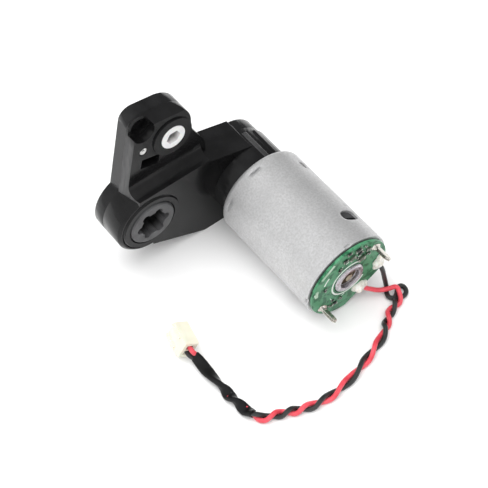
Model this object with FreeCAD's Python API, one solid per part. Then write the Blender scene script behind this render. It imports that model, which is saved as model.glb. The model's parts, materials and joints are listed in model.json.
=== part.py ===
import FreeCAD, Part
import math
import os

# Main brush gear motor of a robot vacuum: a can motor screwed to a black gearbox that
# ends in a six-lobed drive socket, with a twisted two-wire lead.
# Millimetres. The origin is the centre of the drive socket's mouth. +Y runs along every
# axis, from the gearbox to the motor's terminals, and +Z is up. The part lies on its
# gearbox foot and on the lowest line of the motor can.

# Construction: how far a cut runs past its face, the nearest two points may lie, and steps
CUT_PAST = 1.0
SAME_POINT = 1e-6
BISECTIONS = 60
FLANK_STEPS = 3
ARC_SHARE = 0.45

# Places across the axes, as X and Z from the drive socket
OUTPUT_AXIS = (0.0, 0.0)
MOTOR_AXIS = (-33.35, -5.8)
BUSH_AXIS = (-11.55, 24.1)
RECESS_AXIS = (-3.0, 31.6)
EAR_BORE_AXIS = (-3.3, 31.7)
PEEP_AXIS = (-2.3, 24.4)
SLOT_CENTRE = (-4.05, 18.9)

# Levels along the axes, from the mouth of the socket
COVER_BACK = -12.4
COVER_FLOOR = -10.9
PARTING = -8.5
EAR_FRONT = -5.4
BUSH_BOSS_FRONT = -4.9
WALL_INSIDE = -2.4
BODY_FRONT = -0.9
LIP_FRONT = -0.4
MOTOR_SEAT = 5.0

# Gearbox outline
BOSS_WALL = 1.5
BOSS_EDGE = 0.8
LIP_INSET = 0.7
LIP_GROOVE = 0.35
MOUTH_GAP = 0.45
COLLAR_RADIUS = 11.6
COLLAR_BACK_RADIUS = 11.1
COLLAR_STEP = -6.6
SHOULDER_X = -18.4
BLOCK_CORNER = (-35.2, 5.9)
FOOT_LEFT_X = -17.9
FOOT_RIGHT_X = -40.5
SIDE_POINT = (-44.0, -10.2)
SHOULDER_ROUND = 3.0
BLOCK_ROUND = 0.6
FOOT_ROUND = 3.0
EAR_FILLET = 3.2
EAR_FILLET_END = -20.5

# Ear that stands up from the gearbox
EAR_LEFT_LOW = (4.91, 9.7)
EAR_LEFT_HIGH = (-0.45, 36.4)
EAR_TOP_RIGHT = (-17.95, 33.7)
EAR_RIGHT_LOW = (-17.95, 22.5)
EAR_FLARE = (-22.15, 14.0)
EAR_ROOT = (-22.35, 8.0)
EAR_LEFT_ROUND = 3.8
EAR_RIGHT_ROUND = 8.8
EAR_FLARE_ROUND = 3.0
EAR_TOP_DROP = 2.6
EAR_SIDE_DROP = 0.6
TAPER_REACH = 3
BUSH_BOSS_RADIUS = 6.2
RECESS_RADIUS = 3.4
RECESS_LAND = -7.9
EAR_BORE_RADIUS = 2.7
EAR_BORE_FLOOR = -9.9
EAR_SCREW_HOLE = 1.7
PEEP_WIDTH = 2.4
PEEP_HEIGHT = 3.2
PEEP_FLAT_ENDS = (-0.96, 0.64)
PEEP_ROUND = 0.96
PEEP_CORNER = 0.2
SLOT_WIDTH = 5.9
SLOT_HEIGHT = 3.3
SLOT_DEPTH = 2.8
SLOT_TURN = 15.0

# Bush pressed through the ear
BUSH_RADIUS = 3.75
BUSH_BORE = 1.8
BUSH_PROUD = 0.3
BUSH_HEX_ACROSS = 3.9
BUSH_HEX_DEPTH = 3.0

# Gear train
PRESSURE_ANGLE = 25.0
BACKLASH = 0.05
ADDENDUM = 1.0
DEDENDUM = 1.25
FINE_MODULE = 0.5
COARSE_MODULE = 0.6
PINION_TEETH = 12
WHEEL_1_TEETH = 36
PINION_1_TEETH = 12
WHEEL_2_TEETH = 28
PINION_2_TEETH = 12
OUTPUT_TEETH = 28
FRONT_LAYER = (-5.3, -3.0)
MIDDLE_LAYER = (-8.3, -5.9)
BACK_LAYER = (-10.6, -8.7)
PINION_FACE = (-5.5, -2.8)
AXLE_RADIUS = 1.0
AXLE_ENDS = (-11.9, -1.5)
RUNNING_GAP = 0.05
END_GAP = 0.2
TEETH_GAP = 0.4
HUB_WALL = 1.0
JOURNAL_RADIUS = 2.2
JOURNAL_END = -11.7
PINION_POCKET_GAP = 0.7

# Drive socket
RING_RADIUS = 7.15
RING_CHAMFER = 0.35
SPIGOT_STEP = 0.9
SPIGOT_FRONT = -1.6
LIP_THICKNESS = 1.0
SOCKET_LOBES = 6
SOCKET_CORE = 4.1
SOCKET_LOBE_REACH = 4.05
SOCKET_LOBE_RADIUS = 1.25
SOCKET_FLOOR = -7.4

# Screws
COVER_SCREW_EAR = (1.0, 12.2)
COVER_SCREW_SHOULDER = (-20.3, 8.0)
COVER_SCREW_SIDE_X = -42.6
COVER_SCREW_FOOT_X = -31.0
COVER_SCREW_HEEL_X = -10.5
COVER_SCREW_EDGE = 2.65
COVER_SCREW_RADIUS = 0.9
COVER_SCREW_HEAD = 1.7
COVER_SCREW_HEAD_HEIGHT = 1.0
COVER_SCREW_TIP = -5.6
COVER_SCREW_SLOT = 0.9
COVER_SCREW_SLOT_DEPTH = 0.6
MOTOR_SCREW_SLOT_DEPTH = 0.8
MOTOR_SCREW_PITCH = 16.0
MOTOR_SCREW_TURN = 86.0
MOTOR_SCREW_RADIUS = 1.25
MOTOR_SCREW_HEAD = 2.2
MOTOR_SCREW_HEAD_HEIGHT = 1.6
MOTOR_SCREW_REACH = 1.9
MOTOR_WELL_RADIUS = 6.6
MOTOR_WELL_FLOOR = 3.2
SCREW_WELL_RADIUS = 2.5

# Motor can
CAN_RADIUS = 13.85
CAN_WALL = 0.9
CAN_LENGTH = 37.8
CAN_EDGE = 1.4
NOSE_RADIUS = 5.0
NOSE_LENGTH = 2.0
NOSE_WALL = 0.8
NOSE_HOLE_GAP = 1.0
VENT_SIZE = (4.8, 3.8)
VENT_PLACE = (123.8, 28.6)
SMALL_VENT_SIZE = (1.8, 2.6)
SMALL_VENT_PLACE = (136.0, 6.8)
DENT_SIZE = (4.2, 0.6)
DENT_DEPTH = 0.5
DENT_LEVEL = 2.7
DENT_ANGLES = (22.0, 74.0, 202.0, 254.0)
DIMPLE_RADIUS = 0.9
DIMPLE_DEPTH = 0.3
DIMPLE_PLACE = (136.0, 24.6)
CRIMP_WIDTH = 1.6
CRIMP_DEPTH = 0.8
CRIMP_FLOOR = 0.36
CRIMP_ANGLES = (-1.0, 89.0, 179.0, 269.0)

# Motor inside, levels along the axis from the can's front face
SHAFT_RADIUS = 1.15
SHAFT_FRONT = -10.8
SHAFT_SUNK = 0.6
BEARING_RADIUS = 3.0
BEARING_LENGTH = 2.6
MAGNET_SPAN = 146.0
MAGNET_THICKNESS = 2.7
MAGNET_OVERHANG = 2.0
CLIP_THICKNESS = 0.5
AIR_GAP = 0.55
CORE_FRONT = 8.0
CORE_TO_COMMUTATOR = 2.6
CORE_HUB_RADIUS = 3.2
POLES = 3
POLE_SPAN = 96.0
POLE_NECK = 3.0
FIRST_POLE_ANGLE = 90.0
POLE_TIP = 1.4
COIL_THICKNESS = 1.3
COIL_INNER = 3.6
COIL_TIP_GAP = 0.6
COMMUTATOR_RADIUS = 2.9
COMMUTATOR_LENGTH = 5.0
COMMUTATOR_REAR_GAP = 1.0
COMMUTATOR_SLOT = 0.4
SPACER_RADIUS = 2.4
BRUSH_SIZE = (2.4, 2.6, 2.8)
BRUSH_GAP = 0.06
BRUSH_WRAP = 0.3
ARM_THICKNESS = 0.3
ARM_WIDTH = 2.2

# Rear end of the motor
END_CAP_THICKNESS = 2.2
END_CAP_RIM_WIDTH = 1.2
END_CAP_HUB = 5.6
BEARING_CUP_RADIUS = 5.0
BEARING_CUP_PROUD = 0.6
BEARING_CUP_RECESS = 3.3
BEARING_CUP_RECESS_DEPTH = 1.4
BEARING_CUP_EDGE = 0.5
BOARD_OVER_BORE = 0.25
BOARD_THICKNESS = 0.8
BOARD_STAND = 0.4
BOARD_FLAT_CUT = 2.0
BOARD_FLAT_ANGLE = 239.8
BOARD_HOLE_GAP = 0.15

# Spade terminals
TERMINAL_ANGLE = 143.3
TERMINAL_INSET = 1.7
TERMINAL_WIDTH = 2.0
TERMINAL_THICKNESS = 0.5
TERMINAL_LENGTH = 5.6
TERMINAL_POINT = 0.9
TERMINAL_HOLE = 0.45
TERMINAL_SLOT_GAP = 0.15

# Leads: solder joints under glue, twisted pair, sleeve and plug
WIRE_RADIUS = 0.7
TAIL_RADIUS = 0.7
PAIR_RADIUS = 1.4
SLEEVE_RADIUS = 1.75
BLACK_JOINT = (-43.9, -8.0)
RED_JOINT = (-37.7, -13.6)
GLUE_RADIUS = 1.9
GLUE_HEIGHT = 1.6

BLACK_ROUTE = (
    (-43.9, 44.7, -8.0), (-44.45, 45.7, -9.8), (-45.1, 46.0, -13.6), (-45.9, 46.85, -18.95),
    (-44.05, 49.65, -18.95), (-45.4, 50.85, -18.95), (-48.4, 49.0, -18.95),
    (-50.1, 49.7, -18.95), (-49.3, 51.6, -18.95), (-47.35, 51.95, -18.95),
)
RED_ROUTE = (
    (-37.7, 44.75, -13.6), (-39.6, 45.2, -15.6), (-42.3, 47.2, -16.9), (-45.0, 48.6, -16.9),
    (-47.8, 49.0, -17.4), (-48.1, 50.6, -17.5), (-45.9, 52.7, -17.5),
)
PAIR_ROUTE = (
    (-47.9, 51.15, -18.25), (-44.6, 52.75, -18.25), (-41.0, 53.75, -18.25), (-37.6, 56.15, -18.25),
    (-34.7, 58.35, -18.25), (-30.5, 59.8, -18.25), (-24.35, 61.85, -18.25), (-16.4, 63.8, -18.25),
    (-9.35, 64.2, -18.25), (-2.8, 62.5, -18.25), (2.9, 59.6, -18.25), (8.0, 57.9, -17.9),
    (9.1, 54.8, -17.9),
)
SLEEVE_ROUTE = (
    (9.1, 54.8, -17.9), (9.65, 53.25, -17.9), (10.15, 50.3, -17.9), (10.45, 44.4, -17.9),
    (10.5, 38.5, -17.9), (10.8, 32.5, -17.9),
)
TAIL_SPREAD = 0.8
TAIL_TURN = 45.0
TAIL_INSIDE = 0.4

# Plug on the lead
PLUG_REAR = (11.45, 30.3, -16.0)
PLUG_HEADING = -103.0
PLUG_TILT = 62.0
PLUG_LENGTH = 7.8
PLUG_WIDTH = 5.8
PLUG_HEIGHT = 4.4
PLUG_CAVITY = (1.6, 2.0)
PLUG_PITCH = 2.0
PLUG_RIB = (0.8, 5.0, 0.5)
PLUG_WIRE_DEPTH = 0.2
CONTACT_LENGTH = 5.2
CONTACT_WALL = 0.25

# Values worked out from the sizes above
OUTPUT_TIP = COARSE_MODULE * (OUTPUT_TEETH / 2 + ADDENDUM)
BOSS_RADIUS = OUTPUT_TIP + TEETH_GAP + BOSS_WALL
LIP_RADIUS = BOSS_RADIUS - BOSS_EDGE - LIP_INSET
MOUTH_RADIUS = RING_RADIUS + MOUTH_GAP
SPIGOT_RADIUS = MOUTH_RADIUS + SPIGOT_STEP
CAN_FRONT = MOTOR_SEAT
CAN_REAR = CAN_FRONT + CAN_LENGTH
TABLE = MOTOR_AXIS[1] - CAN_RADIUS
CAN_BORE = CAN_RADIUS - CAN_WALL
END_CAP_FRONT = CAN_REAR - END_CAP_THICKNESS
BOARD_FRONT = CAN_REAR + BOARD_STAND
BOARD_REAR = BOARD_FRONT + BOARD_THICKNESS
CUP_REAR = BOARD_REAR + BEARING_CUP_PROUD
SHAFT_REAR = CUP_REAR - SHAFT_SUNK
COMMUTATOR_REAR = END_CAP_FRONT - COMMUTATOR_REAR_GAP
COMMUTATOR_ENDS = (COMMUTATOR_REAR - COMMUTATOR_LENGTH, COMMUTATOR_REAR)
BRUSH_LEVEL = COMMUTATOR_REAR - COMMUTATOR_LENGTH / 2
CORE_ENDS = (CAN_FRONT + CORE_FRONT, COMMUTATOR_ENDS[0] - CORE_TO_COMMUTATOR)
MAGNET_ENDS = (CORE_ENDS[0] - MAGNET_OVERHANG, CORE_ENDS[1] + MAGNET_OVERHANG)
CORE_RADIUS = CAN_BORE - MAGNET_THICKNESS - AIR_GAP
COIL_OUTER = CORE_RADIUS - POLE_TIP - COIL_TIP_GAP
TERMINAL_REACH = CAN_BORE - TERMINAL_INSET
BOARD_RADIUS = CAN_BORE + BOARD_OVER_BORE
BOARD_FLAT = BOARD_RADIUS - BOARD_FLAT_CUT
BOARD_HOLE = BEARING_CUP_RADIUS + BOARD_HOLE_GAP


def across(a, b):
    """Distance and angle in degrees from place a to place b, seen with X right and Z up."""
    dx, dz = b[0] - a[0], b[1] - a[1]
    return math.hypot(dx, dz), math.degrees(math.atan2(dz, dx))


def polar(centre, radius, angle):
    turn = math.radians(angle)
    return centre[0] + radius * math.cos(turn), centre[1] + radius * math.sin(turn)


def gear_places():
    """Axes of the two middle gears: the train zigzags evenly between motor and socket."""
    first = FINE_MODULE * (PINION_TEETH + WHEEL_1_TEETH) / 2
    middle = COARSE_MODULE * (PINION_1_TEETH + WHEEL_2_TEETH) / 2
    last = COARSE_MODULE * (PINION_2_TEETH + OUTPUT_TEETH) / 2
    span, heading = across(MOTOR_AXIS, OUTPUT_AXIS)

    def middle_miss(offset):
        near = math.sqrt(first ** 2 - offset ** 2)
        far = math.sqrt(last ** 2 - offset ** 2)
        return math.hypot(span - near - far, 2 * offset) - middle

    low, high = 0.0, min(first, last)
    for _ in range(BISECTIONS):
        guess = (low + high) / 2
        if middle_miss(guess) < 0:
            low = guess
        else:
            high = guess
    offset = (low + high) / 2
    down = math.degrees(math.asin(offset / first))
    up = math.degrees(math.asin(offset / last))
    return polar(MOTOR_AXIS, first, heading - down), polar(OUTPUT_AXIS, last, heading + 180.0 - up)


GEAR_1_AXIS, GEAR_2_AXIS = gear_places()


def at(place, y=0.0):
    return FreeCAD.Vector(place[0], y, place[1])


def along(length):
    return FreeCAD.Vector(0, length, 0)


def rod(place, radius, y_low, y_high):
    return Part.makeCylinder(radius, y_high - y_low, at(place, y_low), FreeCAD.Vector(0, 1, 0))


def tube(place, outer, inner, y_low, y_high):
    return rod(place, outer, y_low, y_high).cut(rod(place, inner, y_low, y_high))


def rounded_wire(corners):
    """Closed wire in the XZ plane through (x, z, rounding) corners, with tangent arcs."""
    count = len(corners)
    trims = []
    for i in range(count):
        here = at(corners[i])
        before = (at(corners[i - 1]) - here)
        after = (at(corners[(i + 1) % count]) - here)
        rounding = corners[i][2]
        if rounding <= 0:
            trims.append((here, None, here))
            continue
        before.normalize()
        after.normalize()
        half = before.getAngle(after) / 2
        reach = rounding / math.tan(half)
        inward = before + after
        inward.normalize()
        middle = here + inward * (rounding / math.sin(half) - rounding)
        trims.append((here + before * reach, middle, here + after * reach))
    edges = []
    for i in range(count):
        start, middle, end = trims[i]
        if middle is not None:
            edges.append(Part.Arc(start, middle, end).toShape())
        following = trims[(i + 1) % count][0]
        if end.distanceToPoint(following) > SAME_POINT:
            edges.append(Part.LineSegment(end, following).toShape())
    return Part.Wire(edges)


def corner(place, rounding=0.0):
    return place[0], place[1], rounding


def prism(corners, y_low, y_high):
    face = Part.Face(rounded_wire([c if len(c) == 3 else corner(c) for c in corners]))
    face.translate(along(y_low))
    return face.extrude(along(y_high - y_low))


def spun(profile, place):
    """Solid of revolution about the axis through place, from (y, radius) corners."""
    points = [FreeCAD.Vector(place[0] + r, y, place[1]) for y, r in profile]
    face = Part.Face(Part.makePolygon(points + points[:1]))
    return face.revolve(at(place), FreeCAD.Vector(0, 1, 0), 360)


def fused(shapes):
    body = shapes[0]
    if len(shapes) > 1:
        body = body.fuse(shapes[1:])
    return body.removeSplitter()


def box_between(x, y, z):
    return Part.makeBox(x[1] - x[0], y[1] - y[0], z[1] - z[0], FreeCAD.Vector(x[0], y[0], z[0]))


def turned(shape, place, angle):
    """Turns a shape about the axis through place, from +X towards +Z."""
    copy = shape.copy()
    copy.rotate(at(place), FreeCAD.Vector(0, 1, 0), -angle)
    return copy


def ring_sector(place, outer, inner, mid_angle, span, y_low, y_high):
    start, end = mid_angle - span / 2, mid_angle + span / 2

    def spot(radius, angle):
        return at(polar(place, radius, angle), y_low)

    edges = [
        Part.Arc(spot(outer, start), spot(outer, mid_angle), spot(outer, end)).toShape(),
        Part.LineSegment(spot(outer, end), spot(inner, end)).toShape(),
        Part.Arc(spot(inner, end), spot(inner, mid_angle), spot(inner, start)).toShape(),
        Part.LineSegment(spot(inner, start), spot(outer, start)).toShape(),
    ]
    return Part.Face(Part.Wire(edges)).extrude(along(y_high - y_low))


# Gears

def involute_radius_angle(base, radius):
    roll = math.sqrt((radius / base) ** 2 - 1)
    return roll - math.atan(roll)


def toothed(place, module, teeth, tooth_angle, y_low, y_high):
    """Spur wheel with involute flanks and one tooth centred on tooth_angle."""
    pitch = module * teeth / 2
    base = pitch * math.cos(math.radians(PRESSURE_ANGLE))
    tip = pitch + ADDENDUM * module
    root = pitch - DEDENDUM * module
    half_pitch = (math.pi * module / 2 - BACKLASH) / 2 / pitch
    half_base = half_pitch + involute_radius_angle(base, pitch)
    start = max(base, root)
    flank_radii = [start + (tip - start) * k / FLANK_STEPS for k in range(FLANK_STEPS + 1)]
    flank = [(r, half_base - involute_radius_angle(base, r)) for r in flank_radii]
    if root < start:
        flank.insert(0, (root, flank[0][1]))
    points = []
    for i in range(teeth):
        middle = tooth_angle + 360.0 * i / teeth
        points += [polar(place, r, middle - math.degrees(a)) for r, a in flank]
        points += [polar(place, r, middle + math.degrees(a)) for r, a in reversed(flank)]
    return prism(points, y_low, y_high)


def mesh_angles(driver, driven, driven_teeth):
    """Tooth angle for the driver on the line of centres, and the one that puts a gap there."""
    toward = across(driver, driven)[1]
    return toward, toward + 180.0 + 180.0 / driven_teeth


def wheel_and_pinion(place, wheel, pinion):
    """Compound gear on a fixed axle: each of wheel and pinion is (module, teeth, angle, layer)."""
    parts = [toothed(place, m, teeth, angle, *layer) for m, teeth, angle, layer in (wheel, pinion)]
    layers = sorted((wheel[3], pinion[3]))
    hub = pinion[0] * (pinion[1] / 2 - DEDENDUM)
    parts.append(rod(place, hub, layers[0][1], layers[1][0]))
    parts.append(rod(place, AXLE_RADIUS + HUB_WALL, layers[1][1], WALL_INSIDE - END_GAP))
    parts.append(rod(place, AXLE_RADIUS + HUB_WALL, COVER_FLOOR + END_GAP / 2, layers[0][0]))
    return fused(parts).cut(rod(place, AXLE_RADIUS + RUNNING_GAP, COVER_BACK, BODY_FRONT))


def motor_pinion():
    tooth = mesh_angles(MOTOR_AXIS, GEAR_1_AXIS, WHEEL_1_TEETH)[0]
    gear = toothed(MOTOR_AXIS, FINE_MODULE, PINION_TEETH, tooth, *PINION_FACE)
    return gear.cut(rod(MOTOR_AXIS, SHAFT_RADIUS, *PINION_FACE))


def first_gear():
    gap = mesh_angles(MOTOR_AXIS, GEAR_1_AXIS, WHEEL_1_TEETH)[1]
    tooth = mesh_angles(GEAR_1_AXIS, GEAR_2_AXIS, WHEEL_2_TEETH)[0]
    return wheel_and_pinion(
        GEAR_1_AXIS,
        (FINE_MODULE, WHEEL_1_TEETH, gap, FRONT_LAYER),
        (COARSE_MODULE, PINION_1_TEETH, tooth, BACK_LAYER),
    )


def second_gear():
    gap = mesh_angles(GEAR_1_AXIS, GEAR_2_AXIS, WHEEL_2_TEETH)[1]
    tooth = mesh_angles(GEAR_2_AXIS, OUTPUT_AXIS, OUTPUT_TEETH)[0]
    return wheel_and_pinion(
        GEAR_2_AXIS,
        (COARSE_MODULE, WHEEL_2_TEETH, gap, BACK_LAYER),
        (COARSE_MODULE, PINION_2_TEETH, tooth, MIDDLE_LAYER),
    )


def output_gear():
    """Last wheel with its hub drawn forward into the six-lobed socket."""
    gap = mesh_angles(GEAR_2_AXIS, OUTPUT_AXIS, OUTPUT_TEETH)[1]
    wheel = toothed(OUTPUT_AXIS, COARSE_MODULE, OUTPUT_TEETH, gap, *MIDDLE_LAYER)
    hub = spun((
        (MIDDLE_LAYER[0], 0),
        (MIDDLE_LAYER[0], RING_RADIUS),
        (MIDDLE_LAYER[1], RING_RADIUS),
        (MIDDLE_LAYER[1], SPIGOT_RADIUS),
        (SPIGOT_FRONT, SPIGOT_RADIUS),
        (SPIGOT_FRONT, RING_RADIUS),
        (-RING_CHAMFER, RING_RADIUS),
        (0, RING_RADIUS - RING_CHAMFER),
        (0, 0),
    ), OUTPUT_AXIS)
    journal = rod(OUTPUT_AXIS, JOURNAL_RADIUS, JOURNAL_END, MIDDLE_LAYER[0])
    return fused([wheel, hub, journal]).cut(drive_socket())


def drive_socket():
    parts = [rod(OUTPUT_AXIS, SOCKET_CORE, SOCKET_FLOOR, CUT_PAST)]
    for i in range(SOCKET_LOBES):
        place = polar(OUTPUT_AXIS, SOCKET_LOBE_REACH, 360.0 * i / SOCKET_LOBES)
        parts.append(rod(place, SOCKET_LOBE_RADIUS, SOCKET_FLOOR, CUT_PAST))
    return fused(parts)


def gear_axles():
    return Part.makeCompound([rod(p, AXLE_RADIUS, *AXLE_ENDS) for p in (GEAR_1_AXIS, GEAR_2_AXIS)])


# Gearbox shells

def body_outline():
    return (
        (0.0, BOSS_RADIUS, 0.0),
        (SHOULDER_X, BOSS_RADIUS, SHOULDER_ROUND),
        corner(BLOCK_CORNER, BLOCK_ROUND),
        (BLOCK_CORNER[0], MOTOR_AXIS[1], 0.0),
        corner(SIDE_POINT),
        (FOOT_RIGHT_X, TABLE, FOOT_ROUND),
        (FOOT_LEFT_X, TABLE, FOOT_ROUND),
        (0.0, -BOSS_RADIUS, 0.0),
    )


def ear_outline():
    return (
        corner(EAR_LEFT_LOW),
        corner(EAR_LEFT_HIGH, EAR_LEFT_ROUND),
        corner(EAR_TOP_RIGHT, EAR_RIGHT_ROUND),
        corner(EAR_RIGHT_LOW, EAR_FLARE_ROUND),
        corner(EAR_FLARE, EAR_FLARE_ROUND),
        corner(EAR_ROOT),
        (0.0, 0.0, 0.0),
    )


def tip_radius(module, teeth):
    return module * (teeth / 2 + ADDENDUM)


def housing_wells():
    """Room round the train in the housing, stepped so that each axle's wall stays thick."""
    middle_top = MIDDLE_LAYER[1] + END_GAP
    wheel_pocket = tip_radius(FINE_MODULE, WHEEL_1_TEETH) + TEETH_GAP
    pinion_pocket = tip_radius(COARSE_MODULE, PINION_2_TEETH) + PINION_POCKET_GAP
    hub_pocket = AXLE_RADIUS + HUB_WALL + TEETH_GAP / 2
    return [
        rod(GEAR_1_AXIS, wheel_pocket, PARTING, WALL_INSIDE),
        rod(GEAR_2_AXIS, pinion_pocket, PARTING, middle_top),
        rod(GEAR_2_AXIS, hub_pocket, PARTING, WALL_INSIDE),
        rod(OUTPUT_AXIS, OUTPUT_TIP + TEETH_GAP, PARTING, middle_top),
        rod(OUTPUT_AXIS, SPIGOT_RADIUS + RUNNING_GAP, PARTING, LIP_FRONT - LIP_THICKNESS),
        rod(OUTPUT_AXIS, MOUTH_RADIUS, PARTING, CUT_PAST),
        rod(MOTOR_AXIS, MOTOR_WELL_RADIUS, PARTING, MOTOR_WELL_FLOOR),
        rod(MOTOR_AXIS, NOSE_RADIUS, PARTING, MOTOR_SEAT),
    ]


def cover_wells():
    pinion_pocket = tip_radius(COARSE_MODULE, PINION_1_TEETH) + PINION_POCKET_GAP
    wheel_pocket = tip_radius(COARSE_MODULE, WHEEL_2_TEETH) + TEETH_GAP
    return [
        rod(GEAR_1_AXIS, pinion_pocket, COVER_FLOOR, PARTING),
        rod(GEAR_2_AXIS, wheel_pocket, COVER_FLOOR, PARTING),
        rod(OUTPUT_AXIS, JOURNAL_RADIUS + RUNNING_GAP, JOURNAL_END - END_GAP, PARTING),
    ]


def cover_screw_places():
    """Five screws through the cover, the lower ones a set distance inside the outline's foot."""
    _, side_z = MOTOR_AXIS
    heel_slope = (TABLE + BOSS_RADIUS) / FOOT_LEFT_X
    heel_z = -BOSS_RADIUS + heel_slope * COVER_SCREW_HEEL_X
    return (
        COVER_SCREW_EAR,
        COVER_SCREW_SHOULDER,
        (COVER_SCREW_SIDE_X, side_z),
        (COVER_SCREW_FOOT_X, TABLE + COVER_SCREW_EDGE),
        (COVER_SCREW_HEEL_X, heel_z + COVER_SCREW_EDGE * math.hypot(1, heel_slope)),
    )


def motor_screw_places():
    return [polar(MOTOR_AXIS, MOTOR_SCREW_PITCH / 2, MOTOR_SCREW_TURN + 180.0 * k) for k in range(2)]


def boss_block():
    """Round boss with an eased front edge, a groove and a raised lip round the mouth."""
    return spun((
        (PARTING, 0),
        (PARTING, BOSS_RADIUS),
        (BODY_FRONT - BOSS_EDGE, BOSS_RADIUS),
        (BODY_FRONT, BOSS_RADIUS - BOSS_EDGE),
        (BODY_FRONT, LIP_RADIUS + LIP_GROOVE),
        (BODY_FRONT - LIP_GROOVE, LIP_RADIUS + LIP_GROOVE / 2),
        (BODY_FRONT, LIP_RADIUS),
        (LIP_FRONT, LIP_RADIUS - LIP_GROOVE),
        (LIP_FRONT, 0),
    ), OUTPUT_AXIS)


def ear_foot():
    """Concave fillet from the body's flat top up to the ear's front face, as wide as the ear."""
    top = BOSS_RADIUS + EAR_FILLET
    front = EAR_FRONT + EAR_FILLET
    sag = EAR_FILLET * math.sin(math.radians(45.0))
    spots = [FreeCAD.Vector(EAR_FILLET_END, y, z) for y, z in (
        (EAR_FRONT, top), (front - sag, top - sag), (front, BOSS_RADIUS),
        (BODY_FRONT, BOSS_RADIUS), (BODY_FRONT, 0), (PARTING, 0), (PARTING, top),
    )]
    edges = [Part.Arc(*spots[:3]).toShape()]
    rest = spots[2:] + spots[:1]
    edges += [Part.LineSegment(a, b).toShape() for a, b in zip(rest, rest[1:])]
    length = EAR_LEFT_LOW[0] - EAR_FILLET_END + BOSS_RADIUS
    foot = Part.Face(Part.Wire(edges)).extrude(FreeCAD.Vector(length, 0, 0))
    ends = ((EAR_FILLET_END, 0.0), (EAR_FILLET_END, top), ear_left_point(top), ear_left_point(0.0))
    return foot.common(prism(ends, PARTING, BODY_FRONT))


def ear_left_point(z):
    """Point of the ear's left edge line at height z."""
    run_x, run_z = EAR_LEFT_HIGH[0] - EAR_LEFT_LOW[0], EAR_LEFT_HIGH[1] - EAR_LEFT_LOW[1]
    return EAR_LEFT_LOW[0] + (z - EAR_LEFT_LOW[1]) * run_x / run_z, z


def edge_taper(start, end, drop):
    """Wedge that thins the ear towards its front along the outline edge from start to end."""
    run = at(end) - at(start)
    outward = FreeCAD.Vector(-run.z, 0, run.x)
    outward.normalize()
    grown = drop * (BODY_FRONT - PARTING) / (EAR_FRONT - PARTING)
    base = at(start) - run
    points = [
        base + along(PARTING),
        base + along(BODY_FRONT) - outward * grown,
        base + along(BODY_FRONT) + outward * drop,
        base + along(PARTING) + outward * drop,
    ]
    face = Part.Face(Part.makePolygon(points + points[:1]))
    return face.extrude(run * TAPER_REACH)


def ear_recess():
    """Screw recess at the ear's corner, open towards the corner in front of its land."""
    run = at(EAR_LEFT_HIGH) - at(RECESS_AXIS)
    heading = math.degrees(math.atan2(run.z, run.x))
    x, z = RECESS_AXIS
    channel = box_between(
        (x, x + 2 * run.Length), (RECESS_LAND, BODY_FRONT), (z - RECESS_RADIUS, z + RECESS_RADIUS),
    )
    return [
        rod(RECESS_AXIS, RECESS_RADIUS, RECESS_LAND, BODY_FRONT),
        turned(channel, RECESS_AXIS, heading),
        rod(EAR_BORE_AXIS, EAR_BORE_RADIUS, EAR_BORE_FLOOR, BODY_FRONT),
        rod(EAR_BORE_AXIS, EAR_SCREW_HOLE, COVER_BACK, BODY_FRONT),
    ]


def peep_hole():
    """Small through hole with one flat side."""
    x, z = PEEP_AXIS
    half_w, half_h = PEEP_WIDTH / 2, PEEP_HEIGHT / 2
    corners = (
        (x - half_w, z - half_h, PEEP_ROUND),
        (x + half_w, z + PEEP_FLAT_ENDS[0], PEEP_CORNER),
        (x + half_w, z + PEEP_FLAT_ENDS[1], PEEP_CORNER),
        (x - half_w, z + half_h, PEEP_ROUND),
    )
    return prism(corners, COVER_BACK, BODY_FRONT)


def ear_slot():
    x, z = SLOT_CENTRE
    half_w, half_h = SLOT_WIDTH / 2, SLOT_HEIGHT / 2
    slot = box_between(
        (x - half_w, x + half_w), (EAR_FRONT - SLOT_DEPTH, BODY_FRONT), (z - half_h, z + half_h),
    )
    return turned(slot, SLOT_CENTRE, SLOT_TURN)


def gearbox_housing():
    ear = fused([prism(ear_outline(), PARTING, EAR_FRONT), ear_foot()]).cut([
        edge_taper(EAR_TOP_RIGHT, EAR_LEFT_HIGH, EAR_TOP_DROP),
        edge_taper(EAR_LEFT_HIGH, EAR_LEFT_LOW, EAR_SIDE_DROP),
    ])
    solid = [
        prism(body_outline(), PARTING, BODY_FRONT),
        boss_block(),
        rod(MOTOR_AXIS, COLLAR_BACK_RADIUS, PARTING, COLLAR_STEP),
        rod(MOTOR_AXIS, COLLAR_RADIUS, COLLAR_STEP, MOTOR_SEAT),
        ear,
        rod(BUSH_AXIS, BUSH_BOSS_RADIUS, PARTING, BUSH_BOSS_FRONT),
    ]
    holes = housing_wells() + ear_recess()
    holes += [rod(BUSH_AXIS, BUSH_RADIUS, PARTING, BODY_FRONT), peep_hole(), ear_slot()]
    for place in motor_screw_places():
        holes.append(rod(place, SCREW_WELL_RADIUS, PARTING, MOTOR_WELL_FLOOR))
        holes.append(rod(place, MOTOR_SCREW_RADIUS, PARTING, MOTOR_SEAT))
    for place in cover_screw_places():
        holes.append(rod(place, COVER_SCREW_RADIUS, PARTING, COVER_SCREW_TIP))
    for place in (GEAR_1_AXIS, GEAR_2_AXIS):
        holes.append(rod(place, AXLE_RADIUS, PARTING, AXLE_ENDS[1]))
    return fused(solid).cut(holes)


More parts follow.
